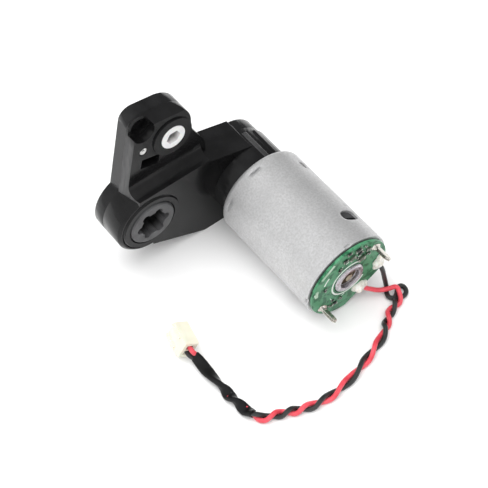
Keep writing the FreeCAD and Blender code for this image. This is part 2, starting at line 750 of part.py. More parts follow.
def gearbox_cover():
    solid = [
        prism(body_outline(), COVER_BACK, PARTING),
        rod(OUTPUT_AXIS, BOSS_RADIUS, COVER_BACK, PARTING),
        rod(MOTOR_AXIS, COLLAR_BACK_RADIUS, COVER_BACK, PARTING),
        prism(ear_outline(), COVER_BACK, PARTING),
    ]
    holes = cover_wells() + ear_recess()
    holes += [rod(BUSH_AXIS, BUSH_RADIUS, COVER_BACK, PARTING), peep_hole()]
    for place in cover_screw_places():
        holes.append(rod(place, COVER_SCREW_RADIUS, COVER_BACK, PARTING))
        holes.append(rod(place, COVER_SCREW_HEAD, COVER_BACK, COVER_BACK + COVER_SCREW_HEAD_HEIGHT))
    for place in (GEAR_1_AXIS, GEAR_2_AXIS):
        holes.append(rod(place, AXLE_RADIUS, AXLE_ENDS[0], PARTING))
    return fused(solid).cut(holes)


def ear_bush():
    """Bush through the whole ear, with a hexagon socket at the front of its bore."""
    front = BUSH_BOSS_FRONT + BUSH_PROUD
    body = rod(BUSH_AXIS, BUSH_RADIUS, COVER_BACK, front)
    corner_reach = BUSH_HEX_ACROSS / 2 / math.cos(math.radians(30.0))
    hexagon = [polar(BUSH_AXIS, corner_reach, 60.0 * i) for i in range(6)]
    return body.cut([
        rod(BUSH_AXIS, BUSH_BORE, COVER_BACK, front),
        prism(hexagon, front - BUSH_HEX_DEPTH, front),
    ])


def cross_slots(place, width, reach, y_low, y_high):
    x, z = place
    return [
        box_between((x - reach, x + reach), (y_low, y_high), (z - width / 2, z + width / 2)),
        box_between((x - width / 2, x + width / 2), (y_low, y_high), (z - reach, z + reach)),
    ]


def slotted_screw(place, radius, tip, head_radius, head, slot_depth):
    """Screw along Y with a cross slot: its head spans the two levels in head, low one first."""
    shank = rod(place, radius, head[0], tip)
    top = rod(place, head_radius, *head)
    cross = cross_slots(place, COVER_SCREW_SLOT / 2, COVER_SCREW_SLOT, head[0], head[0] + slot_depth)
    return fused([shank, top]).cut(cross)


def cover_screws():
    head = (COVER_BACK, COVER_BACK + COVER_SCREW_HEAD_HEIGHT)
    return Part.makeCompound([
        slotted_screw(p, COVER_SCREW_RADIUS, COVER_SCREW_TIP, COVER_SCREW_HEAD, head, COVER_SCREW_SLOT_DEPTH)
        for p in cover_screw_places()
    ])


def motor_screws():
    head = (MOTOR_WELL_FLOOR - MOTOR_SCREW_HEAD_HEIGHT, MOTOR_WELL_FLOOR)
    tip = MOTOR_SEAT + MOTOR_SCREW_REACH
    return Part.makeCompound([
        slotted_screw(p, MOTOR_SCREW_RADIUS, tip, MOTOR_SCREW_HEAD, head, MOTOR_SCREW_SLOT_DEPTH)
        for p in motor_screw_places()
    ])


# Motor

def motor_level(level):
    return CAN_FRONT + level


def motor_can():
    """Drawn steel can with its nose, vents, dents, dimples and four crimp notches at the rim."""
    knee = CAN_EDGE * (1 - math.cos(math.radians(45.0)))
    nose_hole = SHAFT_RADIUS + NOSE_HOLE_GAP
    shell = spun((
        (CAN_FRONT - NOSE_LENGTH, nose_hole),
        (CAN_FRONT - NOSE_LENGTH, NOSE_RADIUS),
        (CAN_FRONT, NOSE_RADIUS),
        (CAN_FRONT, CAN_RADIUS - CAN_EDGE),
        (CAN_FRONT + knee, CAN_RADIUS - knee),
        (CAN_FRONT + CAN_EDGE, CAN_RADIUS),
        (CAN_REAR, CAN_RADIUS),
        (CAN_REAR, CAN_BORE),
        (CAN_FRONT + CAN_WALL, CAN_BORE),
        (CAN_FRONT + CAN_WALL, BEARING_RADIUS),
        (CAN_FRONT - NOSE_LENGTH + NOSE_WALL, BEARING_RADIUS),
        (CAN_FRONT - NOSE_LENGTH + NOSE_WALL, nose_hole),
    ), MOTOR_AXIS)
    cuts = [rod(p, MOTOR_SCREW_RADIUS, CAN_FRONT, CAN_FRONT + CAN_WALL) for p in motor_screw_places()]
    cuts += [can_window(VENT_PLACE, VENT_SIZE, turn) for turn in (0.0, 180.0)]
    cuts += [can_window(SMALL_VENT_PLACE, SMALL_VENT_SIZE, turn) for turn in (0.0, 180.0)]
    cuts += [can_dent(angle) for angle in DENT_ANGLES]
    cuts += [can_dimple(turn) for turn in (0.0, 180.0)]
    cuts += [crimp_notch(angle) for angle in CRIMP_ANGLES]
    return shell.cut(cuts)


def can_block(size, level, inner, outer, angle):
    """Block across the can's wall: size is (round the can, along the can)."""
    x, z = MOTOR_AXIS
    y = motor_level(level)
    wide, long = size[0] / 2, size[1] / 2
    block = box_between((x + inner, x + outer), (y - long, y + long), (z - wide, z + wide))
    return turned(block, MOTOR_AXIS, angle)


def can_window(place, size, turn):
    return can_block(size, place[1], CAN_BORE - CAN_WALL, CAN_RADIUS + CUT_PAST, place[0] + turn)


def can_dent(angle):
    """Short shallow groove across the can near its front edge."""
    return can_block(DENT_SIZE, DENT_LEVEL, CAN_RADIUS - DENT_DEPTH, CAN_RADIUS + CUT_PAST, angle)


def can_dimple(turn):
    outer = polar(MOTOR_AXIS, CAN_RADIUS + CUT_PAST, DIMPLE_PLACE[0] + turn)
    start = at(outer, motor_level(DIMPLE_PLACE[1]))
    inward = at(MOTOR_AXIS, motor_level(DIMPLE_PLACE[1])) - start
    return Part.makeCylinder(DIMPLE_RADIUS, DIMPLE_DEPTH + CUT_PAST, start, inward)


def crimp_notch(angle):
    size = (CRIMP_WIDTH, 2 * CRIMP_DEPTH)
    return can_block(size, CAN_LENGTH, CAN_BORE + CRIMP_FLOOR, CAN_RADIUS + CUT_PAST, angle)


def bearing(y_low, outer):
    return tube(MOTOR_AXIS, outer, SHAFT_RADIUS + RUNNING_GAP, y_low, y_low + BEARING_LENGTH)


def front_bearing():
    return bearing(CAN_FRONT - NOSE_LENGTH + NOSE_WALL, BEARING_RADIUS)


def field_magnet(angle):
    inner = CAN_BORE - MAGNET_THICKNESS
    return ring_sector(MOTOR_AXIS, CAN_BORE, inner, angle, MAGNET_SPAN, *MAGNET_ENDS)


def magnet_clip():
    """Bent spring strip that wedges the two magnets apart at the gap between them."""
    gap = 180.0 - MAGNET_SPAN
    outer, inner = CAN_BORE, CAN_BORE - MAGNET_THICKNESS
    back = ring_sector(MOTOR_AXIS, outer, outer - CLIP_THICKNESS, 90.0, gap, *MAGNET_ENDS)
    leg_span = math.degrees(CLIP_THICKNESS / inner)
    legs = [
        ring_sector(MOTOR_AXIS, outer, inner, 90.0 + side * (gap - leg_span) / 2, leg_span, *MAGNET_ENDS)
        for side in (-1, 1)
    ]
    return fused([back] + legs)


def motor_shaft():
    return rod(MOTOR_AXIS, SHAFT_RADIUS, motor_level(SHAFT_FRONT), SHAFT_REAR)


def armature_core():
    parts = [rod(MOTOR_AXIS, CORE_HUB_RADIUS, *CORE_ENDS)]
    for i in range(POLES):
        angle = FIRST_POLE_ANGLE + 360.0 * i / POLES
        inner = CORE_RADIUS - POLE_TIP
        parts.append(ring_sector(MOTOR_AXIS, CORE_RADIUS, inner, angle, POLE_SPAN, *CORE_ENDS))
        neck = box_between(
            (MOTOR_AXIS[0], MOTOR_AXIS[0] + CORE_RADIUS - POLE_TIP / 2), CORE_ENDS,
            (MOTOR_AXIS[1] - POLE_NECK / 2, MOTOR_AXIS[1] + POLE_NECK / 2),
        )
        parts.append(turned(neck, MOTOR_AXIS, angle))
    return fused(parts).cut(rod(MOTOR_AXIS, SHAFT_RADIUS, *CORE_ENDS))


def armature_windings():
    """One coil round each pole's neck."""
    coils = []
    for i in range(POLES):
        x = (MOTOR_AXIS[0] + COIL_INNER, MOTOR_AXIS[0] + COIL_OUTER)
        half = POLE_NECK / 2
        outer = box_between(
            x, (CORE_ENDS[0] - COIL_THICKNESS, CORE_ENDS[1] + COIL_THICKNESS),
            (MOTOR_AXIS[1] - half - COIL_THICKNESS, MOTOR_AXIS[1] + half + COIL_THICKNESS),
        )
        inner = box_between(x, CORE_ENDS, (MOTOR_AXIS[1] - half, MOTOR_AXIS[1] + half))
        coils.append(turned(outer.cut(inner), MOTOR_AXIS, FIRST_POLE_ANGLE + 360.0 * i / POLES))
    return Part.makeCompound(coils)


def commutator():
    body = tube(MOTOR_AXIS, COMMUTATOR_RADIUS, SHAFT_RADIUS, *COMMUTATOR_ENDS)
    slots = []
    surface = MOTOR_AXIS[0] + COMMUTATOR_RADIUS
    for i in range(POLES):
        slot = box_between(
            (surface - COMMUTATOR_SLOT, surface + CUT_PAST), COMMUTATOR_ENDS,
            (MOTOR_AXIS[1] - COMMUTATOR_SLOT / 2, MOTOR_AXIS[1] + COMMUTATOR_SLOT / 2),
        )
        slots.append(turned(slot, MOTOR_AXIS, FIRST_POLE_ANGLE + 360.0 * (i + 0.5) / POLES))
    return body.cut(slots)


def shaft_spacer():
    """Fibre collar between the front bearing and the armature core."""
    start = CAN_FRONT - NOSE_LENGTH + NOSE_WALL + BEARING_LENGTH + END_GAP
    return tube(MOTOR_AXIS, SPACER_RADIUS, SHAFT_RADIUS, start, CORE_ENDS[0])


def carbon_brush(side):
    """Carbon block with its end worn to the commutator."""
    thick, wide, tall = BRUSH_SIZE
    start = MOTOR_AXIS[0] + COMMUTATOR_RADIUS - BRUSH_WRAP
    block = box_between(
        (start, MOTOR_AXIS[0] + COMMUTATOR_RADIUS + thick), (BRUSH_LEVEL - tall / 2, BRUSH_LEVEL + tall / 2),
        (MOTOR_AXIS[1] - wide / 2, MOTOR_AXIS[1] + wide / 2),
    )
    worn = block.cut(rod(MOTOR_AXIS, COMMUTATOR_RADIUS + BRUSH_GAP, BRUSH_LEVEL - tall, BRUSH_LEVEL + tall))
    return turned(worn, MOTOR_AXIS, brush_angle(side))


def brush_angle(side):
    return TERMINAL_ANGLE + 180.0 * side


def brush_arm(side):
    """Spring strip from the end cap down to the back of the brush."""
    start = MOTOR_AXIS[0] + COMMUTATOR_RADIUS + BRUSH_SIZE[0]
    strip = box_between(
        (start, start + ARM_THICKNESS), (BRUSH_LEVEL - BRUSH_SIZE[2] / 2, END_CAP_FRONT),
        (MOTOR_AXIS[1] - ARM_WIDTH / 2, MOTOR_AXIS[1] + ARM_WIDTH / 2),
    )
    return turned(strip, MOTOR_AXIS, brush_angle(side))


def terminal_places():
    return [polar(MOTOR_AXIS, TERMINAL_REACH, TERMINAL_ANGLE + 180.0 * k) for k in range(2)]


def terminal_blank(side, gap, y_low, y_high):
    x = MOTOR_AXIS[0] + TERMINAL_REACH
    z = MOTOR_AXIS[1]
    blank = box_between(
        (x - TERMINAL_THICKNESS / 2 - gap, x + TERMINAL_THICKNESS / 2 + gap), (y_low, y_high),
        (z - TERMINAL_WIDTH / 2 - gap, z + TERMINAL_WIDTH / 2 + gap),
    )
    return turned(blank, MOTOR_AXIS, brush_angle(side))


def spade_terminal(side):
    """Flat blade from the end cap through the board, with a pointed end and a hole."""
    x, z = MOTOR_AXIS[0] + TERMINAL_REACH, MOTOR_AXIS[1]
    tip = BOARD_REAR + TERMINAL_LENGTH
    half = TERMINAL_WIDTH / 2
    outline = [
        (END_CAP_FRONT, -half), (tip - TERMINAL_POINT, -half), (tip, -half + TERMINAL_POINT / 2),
        (tip, half - TERMINAL_POINT / 2), (tip - TERMINAL_POINT, half), (END_CAP_FRONT, half),
    ]
    points = [FreeCAD.Vector(x - TERMINAL_THICKNESS / 2, y, z + w) for y, w in outline]
    blade = Part.Face(Part.makePolygon(points + points[:1])).extrude(FreeCAD.Vector(TERMINAL_THICKNESS, 0, 0))
    hole = Part.makeCylinder(
        TERMINAL_HOLE, 2 * TERMINAL_THICKNESS,
        FreeCAD.Vector(x - TERMINAL_THICKNESS, tip - 2 * TERMINAL_POINT, z), FreeCAD.Vector(1, 0, 0),
    )
    return turned(blade.cut(hole), MOTOR_AXIS, brush_angle(side))


def end_cap():
    """Plastic end cap that closes the can and carries bearing cup, terminals and board."""
    rim = CAN_BORE
    disc = spun((
        (END_CAP_FRONT, BEARING_CUP_RADIUS),
        (END_CAP_FRONT, rim),
        (CAN_REAR, rim),
        (BOARD_FRONT, rim - END_CAP_RIM_WIDTH / 2),
        (BOARD_FRONT, rim - END_CAP_RIM_WIDTH),
        (CAN_REAR, rim - END_CAP_RIM_WIDTH),
        (CAN_REAR, END_CAP_HUB + END_CAP_RIM_WIDTH),
        (BOARD_FRONT, END_CAP_HUB + END_CAP_RIM_WIDTH),
        (BOARD_FRONT, BEARING_CUP_RADIUS),
    ), MOTOR_AXIS)
    return disc.cut([terminal_blank(side, 0, END_CAP_FRONT, BOARD_FRONT) for side in range(2)])


def rear_bearing_cup():
    """Steel cup in the end cap that holds the rear bearing and shows through the board."""
    floor = CUP_REAR - BEARING_CUP_RECESS_DEPTH
    return spun((
        (END_CAP_FRONT, BEARING_RADIUS),
        (END_CAP_FRONT, BEARING_CUP_RADIUS),
        (CUP_REAR - BEARING_CUP_EDGE, BEARING_CUP_RADIUS),
        (CUP_REAR, BEARING_CUP_RADIUS - BEARING_CUP_EDGE),
        (CUP_REAR, BEARING_CUP_RECESS),
        (floor, BEARING_CUP_RECESS),
        (floor, BEARING_RADIUS),
    ), MOTOR_AXIS)


def rear_bearing():
    floor = CUP_REAR - BEARING_CUP_RECESS_DEPTH
    return tube(MOTOR_AXIS, BEARING_RADIUS, SHAFT_RADIUS + RUNNING_GAP, END_CAP_FRONT, floor)


def circuit_board():
    """Round board behind the end cap with one flat side, a centre hole and two slots."""
    disc = tube(MOTOR_AXIS, BOARD_RADIUS, BOARD_HOLE, BOARD_FRONT, BOARD_REAR)
    size = BOARD_RADIUS
    levels = (BOARD_FRONT - CUT_PAST, BOARD_REAR + CUT_PAST)
    off = box_between(
        (MOTOR_AXIS[0] + BOARD_FLAT, MOTOR_AXIS[0] + BOARD_FLAT + size), levels,
        (MOTOR_AXIS[1] - size, MOTOR_AXIS[1] + size),
    )
    cuts = [turned(off, MOTOR_AXIS, BOARD_FLAT_ANGLE)]
    cuts += [terminal_blank(side, TERMINAL_SLOT_GAP, *levels) for side in range(2)]
    return disc.cut(cuts)


# Leads

def glue_dome(place):
    """Low dome of glue over a solder joint, flat on the board."""
    base = at(place, BOARD_REAR)
    ball_radius = (GLUE_RADIUS ** 2 + GLUE_HEIGHT ** 2) / (2 * GLUE_HEIGHT)
    ball = Part.makeSphere(ball_radius, base + along(GLUE_HEIGHT - ball_radius))
    return ball.common(rod(place, ball_radius + CUT_PAST, BOARD_REAR, BOARD_REAR + GLUE_HEIGHT + CUT_PAST))


def route_path(points, label):
    """Straight runs joined by tangent arcs, each as large as its two runs allow."""
    spots = [FreeCAD.Vector(*p) for p in points]
    edges, radii, start = [], [], spots[0]
    for i in range(1, len(spots) - 1):
        back, ahead = spots[i - 1] - spots[i], spots[i + 1] - spots[i]
        reach = ARC_SHARE * min(back.Length, ahead.Length)
        back.normalize()
        ahead.normalize()
        half_inside = back.getAngle(ahead) / 2
        radius = reach * math.tan(half_inside)
        inward = back + ahead
        inward.normalize()
        middle = spots[i] + inward * (radius / math.sin(half_inside) - radius)
        arc_start, arc_end = spots[i] + back * reach, spots[i] + ahead * reach
        edges.append(Part.LineSegment(start, arc_start).toShape())
        edges.append(Part.Arc(arc_start, middle, arc_end).toShape())
        radii.append(radius)
        start = arc_end
    edges.append(Part.LineSegment(start, spots[-1]).toShape())
    path = Part.Wire(edges)
    print(label, "length", round(path.Length, 1), "radii", [round(r, 1) for r in radii])
    return path


def cord_tube(points, radius, label):
    path = route_path(points, label)
    start = FreeCAD.Vector(*points[0])
    heading = FreeCAD.Vector(*points[1]) - start
    section = Part.Wire(Part.makeCircle(radius, start, heading))
    tube_solid = path.makePipeShell([section], True, False)
    expected = math.pi * radius ** 2 * path.Length
    print(label, "volume", round(tube_solid.Volume / expected, 4), "of section times length")
    return tube_solid


def plug_axes():
    """Unit vectors of the plug: across its ways, along it away from the wires, and through it."""
    heading, tilt = math.radians(PLUG_HEADING), math.radians(PLUG_TILT)
    ahead = FreeCAD.Vector(math.cos(heading), math.sin(heading), 0)
    level = FreeCAD.Vector(math.sin(heading), -math.cos(heading), 0)
    row = level * math.cos(tilt) + FreeCAD.Vector(0, 0, 1) * math.sin(tilt)
    return row, ahead, row.cross(ahead)


def plug_block(across_row, ahead, through):
    """Block in the plug's own directions, each given as (low, high) from the rear centre."""
    block = box_between(across_row, ahead, through)
    row, axis, normal = plug_axes()
    matrix = FreeCAD.Matrix(
        row.x, axis.x, normal.x, PLUG_REAR[0],
        row.y, axis.y, normal.y, PLUG_REAR[1],
        row.z, axis.z, normal.z, PLUG_REAR[2],
        0, 0, 0, 1,
    )
    block.Placement = FreeCAD.Placement(matrix)
    return block


def way_offset(side):
    return (side - 0.5) * PLUG_PITCH


def lead_tail(side):
    """Short single wire from the sleeve's end into its way of the plug."""
    sleeve_end, before = FreeCAD.Vector(*SLEEVE_ROUTE[-1]), FreeCAD.Vector(*SLEEVE_ROUTE[-2])
    travel = sleeve_end - before
    travel.normalize()
    level = FreeCAD.Vector(travel.y, -travel.x, 0)
    turn = math.radians(TAIL_TURN)
    spread = (level * math.cos(turn) + FreeCAD.Vector(0, 0, 1) * math.sin(turn)) * TAIL_SPREAD
    row, axis, _ = plug_axes()
    start = sleeve_end + spread * (2 * side - 1) - travel * TAIL_INSIDE
    end = FreeCAD.Vector(*PLUG_REAR) + row * way_offset(side) + axis * PLUG_WIRE_DEPTH
    return Part.makeCylinder(TAIL_RADIUS, (end - start).Length, start, end - start)


def plug_housing():
    """Two-way plug: a moulded block with two through ways and two ribs on one face."""
    half_w, half_h = PLUG_WIDTH / 2, PLUG_HEIGHT / 2
    parts = [plug_block((-half_w, half_w), (0, PLUG_LENGTH), (-half_h, half_h))]
    rib_w, rib_l, rib_h = PLUG_RIB
    for side in (-1, 1):
        middle = side * (half_w - rib_w)
        rib = (middle - rib_w / 2, middle + rib_w / 2)
        parts.append(plug_block(rib, (PLUG_LENGTH - rib_l, PLUG_LENGTH), (half_h, half_h + rib_h)))
    ways = []
    for side in range(2):
        x = way_offset(side)
        ways.append(plug_block(
            (x - PLUG_CAVITY[0] / 2, x + PLUG_CAVITY[0] / 2), (0, PLUG_LENGTH),
            (-PLUG_CAVITY[1] / 2, PLUG_CAVITY[1] / 2),
        ))
    return fused(parts).cut(ways)


def plug_contacts():
    """Crimp contacts inside the plug, one at the end of each wire."""
    contacts = []
    start, end = PLUG_WIRE_DEPTH, PLUG_WIRE_DEPTH + CONTACT_LENGTH
    half_w, half_h = PLUG_CAVITY[0] / 2, PLUG_CAVITY[1] / 2
    wall = CONTACT_WALL
    for side in range(2):
        x = way_offset(side)
        outer = plug_block((x - half_w, x + half_w), (start, end), (-half_h, half_h))
        inner = plug_block(
            (x - half_w + wall, x + half_w - wall), (start + wall, end), (-half_h + wall, half_h - wall),
        )
        contacts.append(outer.cut(inner))
    return Part.makeCompound(contacts)


NODES = {
    "gearbox_housing": gearbox_housing,
    "gearbox_cover": gearbox_cover,
    "ear_bush": ear_bush,
    "cover_screws": cover_screws,
    "motor_screws": motor_screws,
    "gear_axles": gear_axles,
    "motor_pinion": motor_pinion,
    "first_gear": first_gear,
    "second_gear": second_gear,
    "output_gear": output_gear,
    "motor_can": motor_can,
    "front_bearing": front_bearing,
    "magnet_north": lambda: field_magnet(0.0),
    "magnet_south": lambda: field_magnet(180.0),
    "magnet_clip": magnet_clip,
    "motor_shaft": motor_shaft,
    "shaft_spacer": shaft_spacer,
    "armature_core": armature_core,
    "armature_windings": armature_windings,
    "commutator": commutator,
    "brush_positive": lambda: carbon_brush(0),
    "brush_negative": lambda: carbon_brush(1),
    "brush_arm_positive": lambda: brush_arm(0),
    "brush_arm_negative": lambda: brush_arm(1),
    "end_cap": end_cap,
    "rear_bearing_cup": rear_bearing_cup,
    "rear_bearing": rear_bearing,
    "circuit_board": circuit_board,
    "terminal_positive": lambda: spade_terminal(0),
    "terminal_negative": lambda: spade_terminal(1),
    "black_joint": lambda: glue_dome(BLACK_JOINT),
    "red_joint": lambda: glue_dome(RED_JOINT),
    "black_lead": lambda: cord_tube(BLACK_ROUTE, WIRE_RADIUS, "black_lead"),
    "red_lead": lambda: cord_tube(RED_ROUTE, WIRE_RADIUS, "red_lead"),
    "twisted_pair": lambda: cord_tube(PAIR_ROUTE, PAIR_RADIUS, "twisted_pair"),
    "shrink_sleeve": lambda: cord_tube(SLEEVE_ROUTE, SLEEVE_RADIUS, "shrink_sleeve"),
    "black_tail": lambda: lead_tail(0),
    "red_tail": lambda: lead_tail(1),
    "plug_housing": plug_housing,
    "plug_contacts": plug_contacts,
}


os.makedirs("parts", exist_ok=True)
for name, build in NODES.items():
    shape = build()
    solids = shape.Solids
    print(name, "solids", len(solids), "valid", shape.isValid(), "volume", round(shape.Volume, 1))
    shape.exportStep(f"parts/{name}.step")
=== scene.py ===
import json
import math

import bmesh
import bpy
from mathutils import Matrix, Vector, noise


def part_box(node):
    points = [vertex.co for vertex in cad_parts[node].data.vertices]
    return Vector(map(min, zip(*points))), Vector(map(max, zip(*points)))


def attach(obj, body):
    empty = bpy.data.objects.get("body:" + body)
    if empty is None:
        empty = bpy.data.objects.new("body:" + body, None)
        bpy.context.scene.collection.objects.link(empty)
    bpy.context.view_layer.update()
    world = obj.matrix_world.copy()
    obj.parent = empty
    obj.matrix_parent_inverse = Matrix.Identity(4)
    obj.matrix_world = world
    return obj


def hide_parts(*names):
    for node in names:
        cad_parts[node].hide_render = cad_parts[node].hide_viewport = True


# Looks of the main brush gear motor. Metres, in the frame of the part: the origin is the
# mouth of the drive socket, +Y runs along the shafts to the terminals and +Z is up.
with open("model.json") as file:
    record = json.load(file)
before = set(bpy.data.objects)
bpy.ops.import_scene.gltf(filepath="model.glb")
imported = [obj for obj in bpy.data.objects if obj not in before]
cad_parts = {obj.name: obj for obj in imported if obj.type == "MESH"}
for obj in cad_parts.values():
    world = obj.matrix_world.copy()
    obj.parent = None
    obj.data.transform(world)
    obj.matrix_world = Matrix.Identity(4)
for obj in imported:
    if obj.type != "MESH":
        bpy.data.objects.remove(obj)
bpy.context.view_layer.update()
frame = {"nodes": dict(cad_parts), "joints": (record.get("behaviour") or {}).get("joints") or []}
nodes = frame["nodes"]

# A millimetre, and places taken from the frame
MM = 0.001
MOTOR = Vector([joint for joint in frame["joints"] if joint["name"] == "rotor_spin"][0]["pos_m"])
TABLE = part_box("motor_can")[0].z
BOARD_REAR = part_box("circuit_board")[1].y

# View, fitted to the photo: the camera's place, the way back from its view, and its lens in mm
CAMERA_PLACE = (0.11785, 0.19030, 0.31340)
CAMERA_BACK = (0.3500, 0.4458, 0.8239)
CAMERA_LENS = 103.3

# Studio: a tone is (share of the way from the dark side to the bright one, grey),
# a lamp is (name, place, size, power)
STUDIO_BRIGHT_SIDE = (0.8, 0.4, 0.2)
STUDIO_BACKDROP = 0.95
STUDIO_TONES = ((0.12, 0.22), (0.5, 0.55), (0.78, 1.0))
FLOOR_REACH = 3.0
LIGHTS_AIM = (-0.02, 0.02, 0.0)
LAMPS = (("overhead", (0.0, 0.0, 0.9), 1.6, 11.5), ("key", (0.1, -0.3, 0.6), 0.35, 1.2))

# Moulded plastics: size of the drift in tone, of the fine grain and of the slow waves, and their depths
DRIFT_SIZE = 0.006
GRAIN_SIZE = 0.00018
GRAIN_DEPTH = 0.000004
WAVE_SIZE = 0.0025
WAVE_DEPTHS = 5

# Painted reflection in pale streaks up the ear's side face: from which share sideways a face has it, and
# from which Z and X
SHEEN_FACING = (0.80, 0.96)
SHEEN_HEIGHT = (0.007, 0.010)
SHEEN_SIDE = (0.0002, 0.0009)

# Distance along Y over which the painted shade deep in a bore gives way to its plain face
BUSH_SHADE_FROM = (-0.0066, -0.0052)
SOCKET_SHADE_FROM = (-0.0034, -0.0012)

# Rounded edges
EDGE_ANGLE = math.radians(32)
EDGE_STEPS = 2
EDGE_WELD = 0.000002

# Can, in mm and degrees round its axis from +X towards +Z
CAN_SEGMENTS = 192
CAN_WALL = 0.9
CAN_EDGE = 1.4
CAN_EDGE_STEPS = 8
CAN_RIM_EASE = 0.15
CAN_SKIN = 0.5
CAN_SHARP_ANGLE = math.radians(38)
NOSE_RADIUS = 5.0
NOSE_LENGTH = 2.0
NOSE_HOLE = 2.15
NOSE_WALL = 0.8
NOSE_EASE = 0.3
NOSE_FILLET = 0.2

# A vent is (angle, distance from the front, width round the can, length along it)
VENTS = ((126.8, 28.6, 6.2, 3.9), (306.8, 28.6, 6.2, 3.9), (136.0, 6.8, 1.8, 2.6), (316.0, 6.8, 1.8, 2.6))
VENT_ROUNDING = 0.75
VENT_SIDES = 44
VENT_CUT = (-3.0, 1.5)
VENT_SINK = 0.30
VENT_SINK_REACH = 0.22

# Curved dents behind the front edge, dimples as (angle, distance from the front), notches in the rear rim
DENT_ANGLES = (22.0, 74.0, 202.0, 254.0)
DENT_LEVEL = 2.35
DENT_HALF = 2.1
DENT_RUN = 1.1
DENT_DEPTH = 0.8
DENT_FALL = 1.5
DIMPLES = ((136.0, 24.6), (316.0, 24.6))
DIMPLE_RADIUS = 0.9
DIMPLE_DEPTH = 0.3
CRIMP_ANGLES = (-1.0, 89.0, 179.0, 269.0)
CRIMP_HALF = 0.8
CRIMP_DEPTH = 0.8
CRIMP_SINK = 0.5

# Steps along the can: close ones round the dents and up to the rim, and wide ones between them
STEP_CLOSE = 0.12
STEP_WIDE = 0.40
STEP_START = 0.2
STEP_DENTS = (0.4, 0.2)
STEP_RIM = 1.1
STEP_END = 0.1

# Leads
WIRE_RADIUS = 0.0007
WIRE_STEPS = 6
WIRE_ROUNDNESS = 5
LINE_STEPS = 16
BLACK_ROUTE = (
    (-0.04390, 0.04470, -0.00800), (-0.04445, 0.04570, -0.00980), (-0.04510, 0.04600, -0.01360),
    (-0.04590, 0.04685, -0.01895), (-0.04450, 0.04830, -0.01895), (-0.04400, 0.05010, -0.01895),
    (-0.04540, 0.05110, -0.01895), (-0.04700, 0.05000, -0.01895), (-0.04830, 0.04880, -0.01895),
    (-0.04960, 0.04900, -0.01895), (-0.04985, 0.05040, -0.01895), (-0.04910, 0.05170, -0.01895),
    (-0.04780, 0.05215, -0.01895),
)
RED_ROUTE = (
    (-0.03770, 0.04475, -0.01360), (-0.03960, 0.04520, -0.01560), (-0.04230, 0.04720, -0.01690),
    (-0.04500, 0.04860, -0.01690), (-0.04780, 0.04900, -0.01740),
)
PAIR_ROUTE = (
    (-0.04790, 0.05115, -0.01825), (-0.04460, 0.05275, -0.01825), (-0.04100, 0.05375, -0.01825),
    (-0.03760, 0.05615, -0.01825), (-0.03470, 0.05835, -0.01825), (-0.03050, 0.05980, -0.01825),
    (-0.02435, 0.06180, -0.01825), (-0.01640, 0.06362, -0.01825), (-0.00935, 0.06400, -0.01825),
    (-0.00280, 0.06250, -0.01825), (0.00290, 0.05960, -0.01825), (0.00800, 0.05790, -0.01790),
    (0.00910, 0.05480, -0.01790),
)
SLEEVE_ROUTE = (
    (0.00965, 0.05325, -0.01790), (0.01015, 0.05030, -0.01790), (0.01045, 0.04440, -0.01790),
    (0.01050, 0.03850, -0.01790), (0.01080, 0.03250, -0.01790),
)
BLACK_LENGTH = 0.1210
RED_LENGTH = 0.1105

# Distance along the pair at which one wire lies on the other, red first
CROSSINGS = (
    0.00163, 0.00482, 0.00946, 0.01316, 0.02040, 0.02751, 0.03623,
    0.04280, 0.04793, 0.05211, 0.05626, 0.06122, 0.06756, 0.07341,
)
PAIR_GAP = 0.0001
STRAND_TURN = math.radians(36)
STRAND_SAMPLES = 2000
PHASE_SLACK = 1e-9

# Plug: the middle of its rear, the way into it, its turn about that way, and the place of its two contacts
PLUG_REAR = Vector((0.01145, 0.03030, -0.01600))
PLUG_HEADING = math.radians(-103.0)
PLUG_TILT = math.radians(62.0)
PLUG_PITCH = 0.0020
PLUG_DEPTH = 0.0020
PLUG_APPROACH = 0.0008

# Sleeve: where it starts and rises along the pair, its wall and its form round the two wires
SLEEVE_START = 0.0620
SLEEVE_RISE = 0.0740
SLEEVE_END_HEIGHT = -0.0170
SLEEVE_WALL = 0.00025
SLEEVE_WALL_SHOWN = 0.8
SLEEVE_GAP = 0.00005
SLEEVE_CLEAR = 0.00002
SLEEVE_INSIDE = 1e-6
SLEEVE_STEPS = 90
SLEEVE_SIDES = 28
SLEEVE_CORNER = 3
SLEEVE_TIGHT = 0.96
MOUTH_FLARE = 0.25
MOUTH_STEPS = 5
PUCKER_DEPTH = 0.04
PUCKER_SIDES = 0.35
PUCKER_RUN = 900
PUCKER_SEED = 3.1

# Glue on the joints: a lobe is (radius, angle, size, height) on the board, in mm and degrees
BLACK_GLUE = ((10.6, -172, 1.9, 1.8), (10.3, -163, 1.2, 1.2), (11.0, 178, 1.2, 1.2))
RED_GLUE = ((9.1, -118, 2.0, 1.7), (7.9, -110, 1.4, 1.2), (10.0, -126, 1.2, 1.2))
GLUE_DETAIL = 4
GLUE_BULGE = 0.14
GLUE_BULGES = 1.3
GLUE_FOOT = -0.12
GLUE_VOXEL = 0.00012
GLUE_SOFTENING = 6

# Blocks on the board, in mm: how deep they sit, and how their upper edges are eased
PATCH_SINK = 0.02
PATCH_EASE = 0.15
PATCH_EASE_WIDTH = 0.4
PATCH_EASE_HEIGHT = 0.6
PATCH_BEND = (0.35, 0.3)

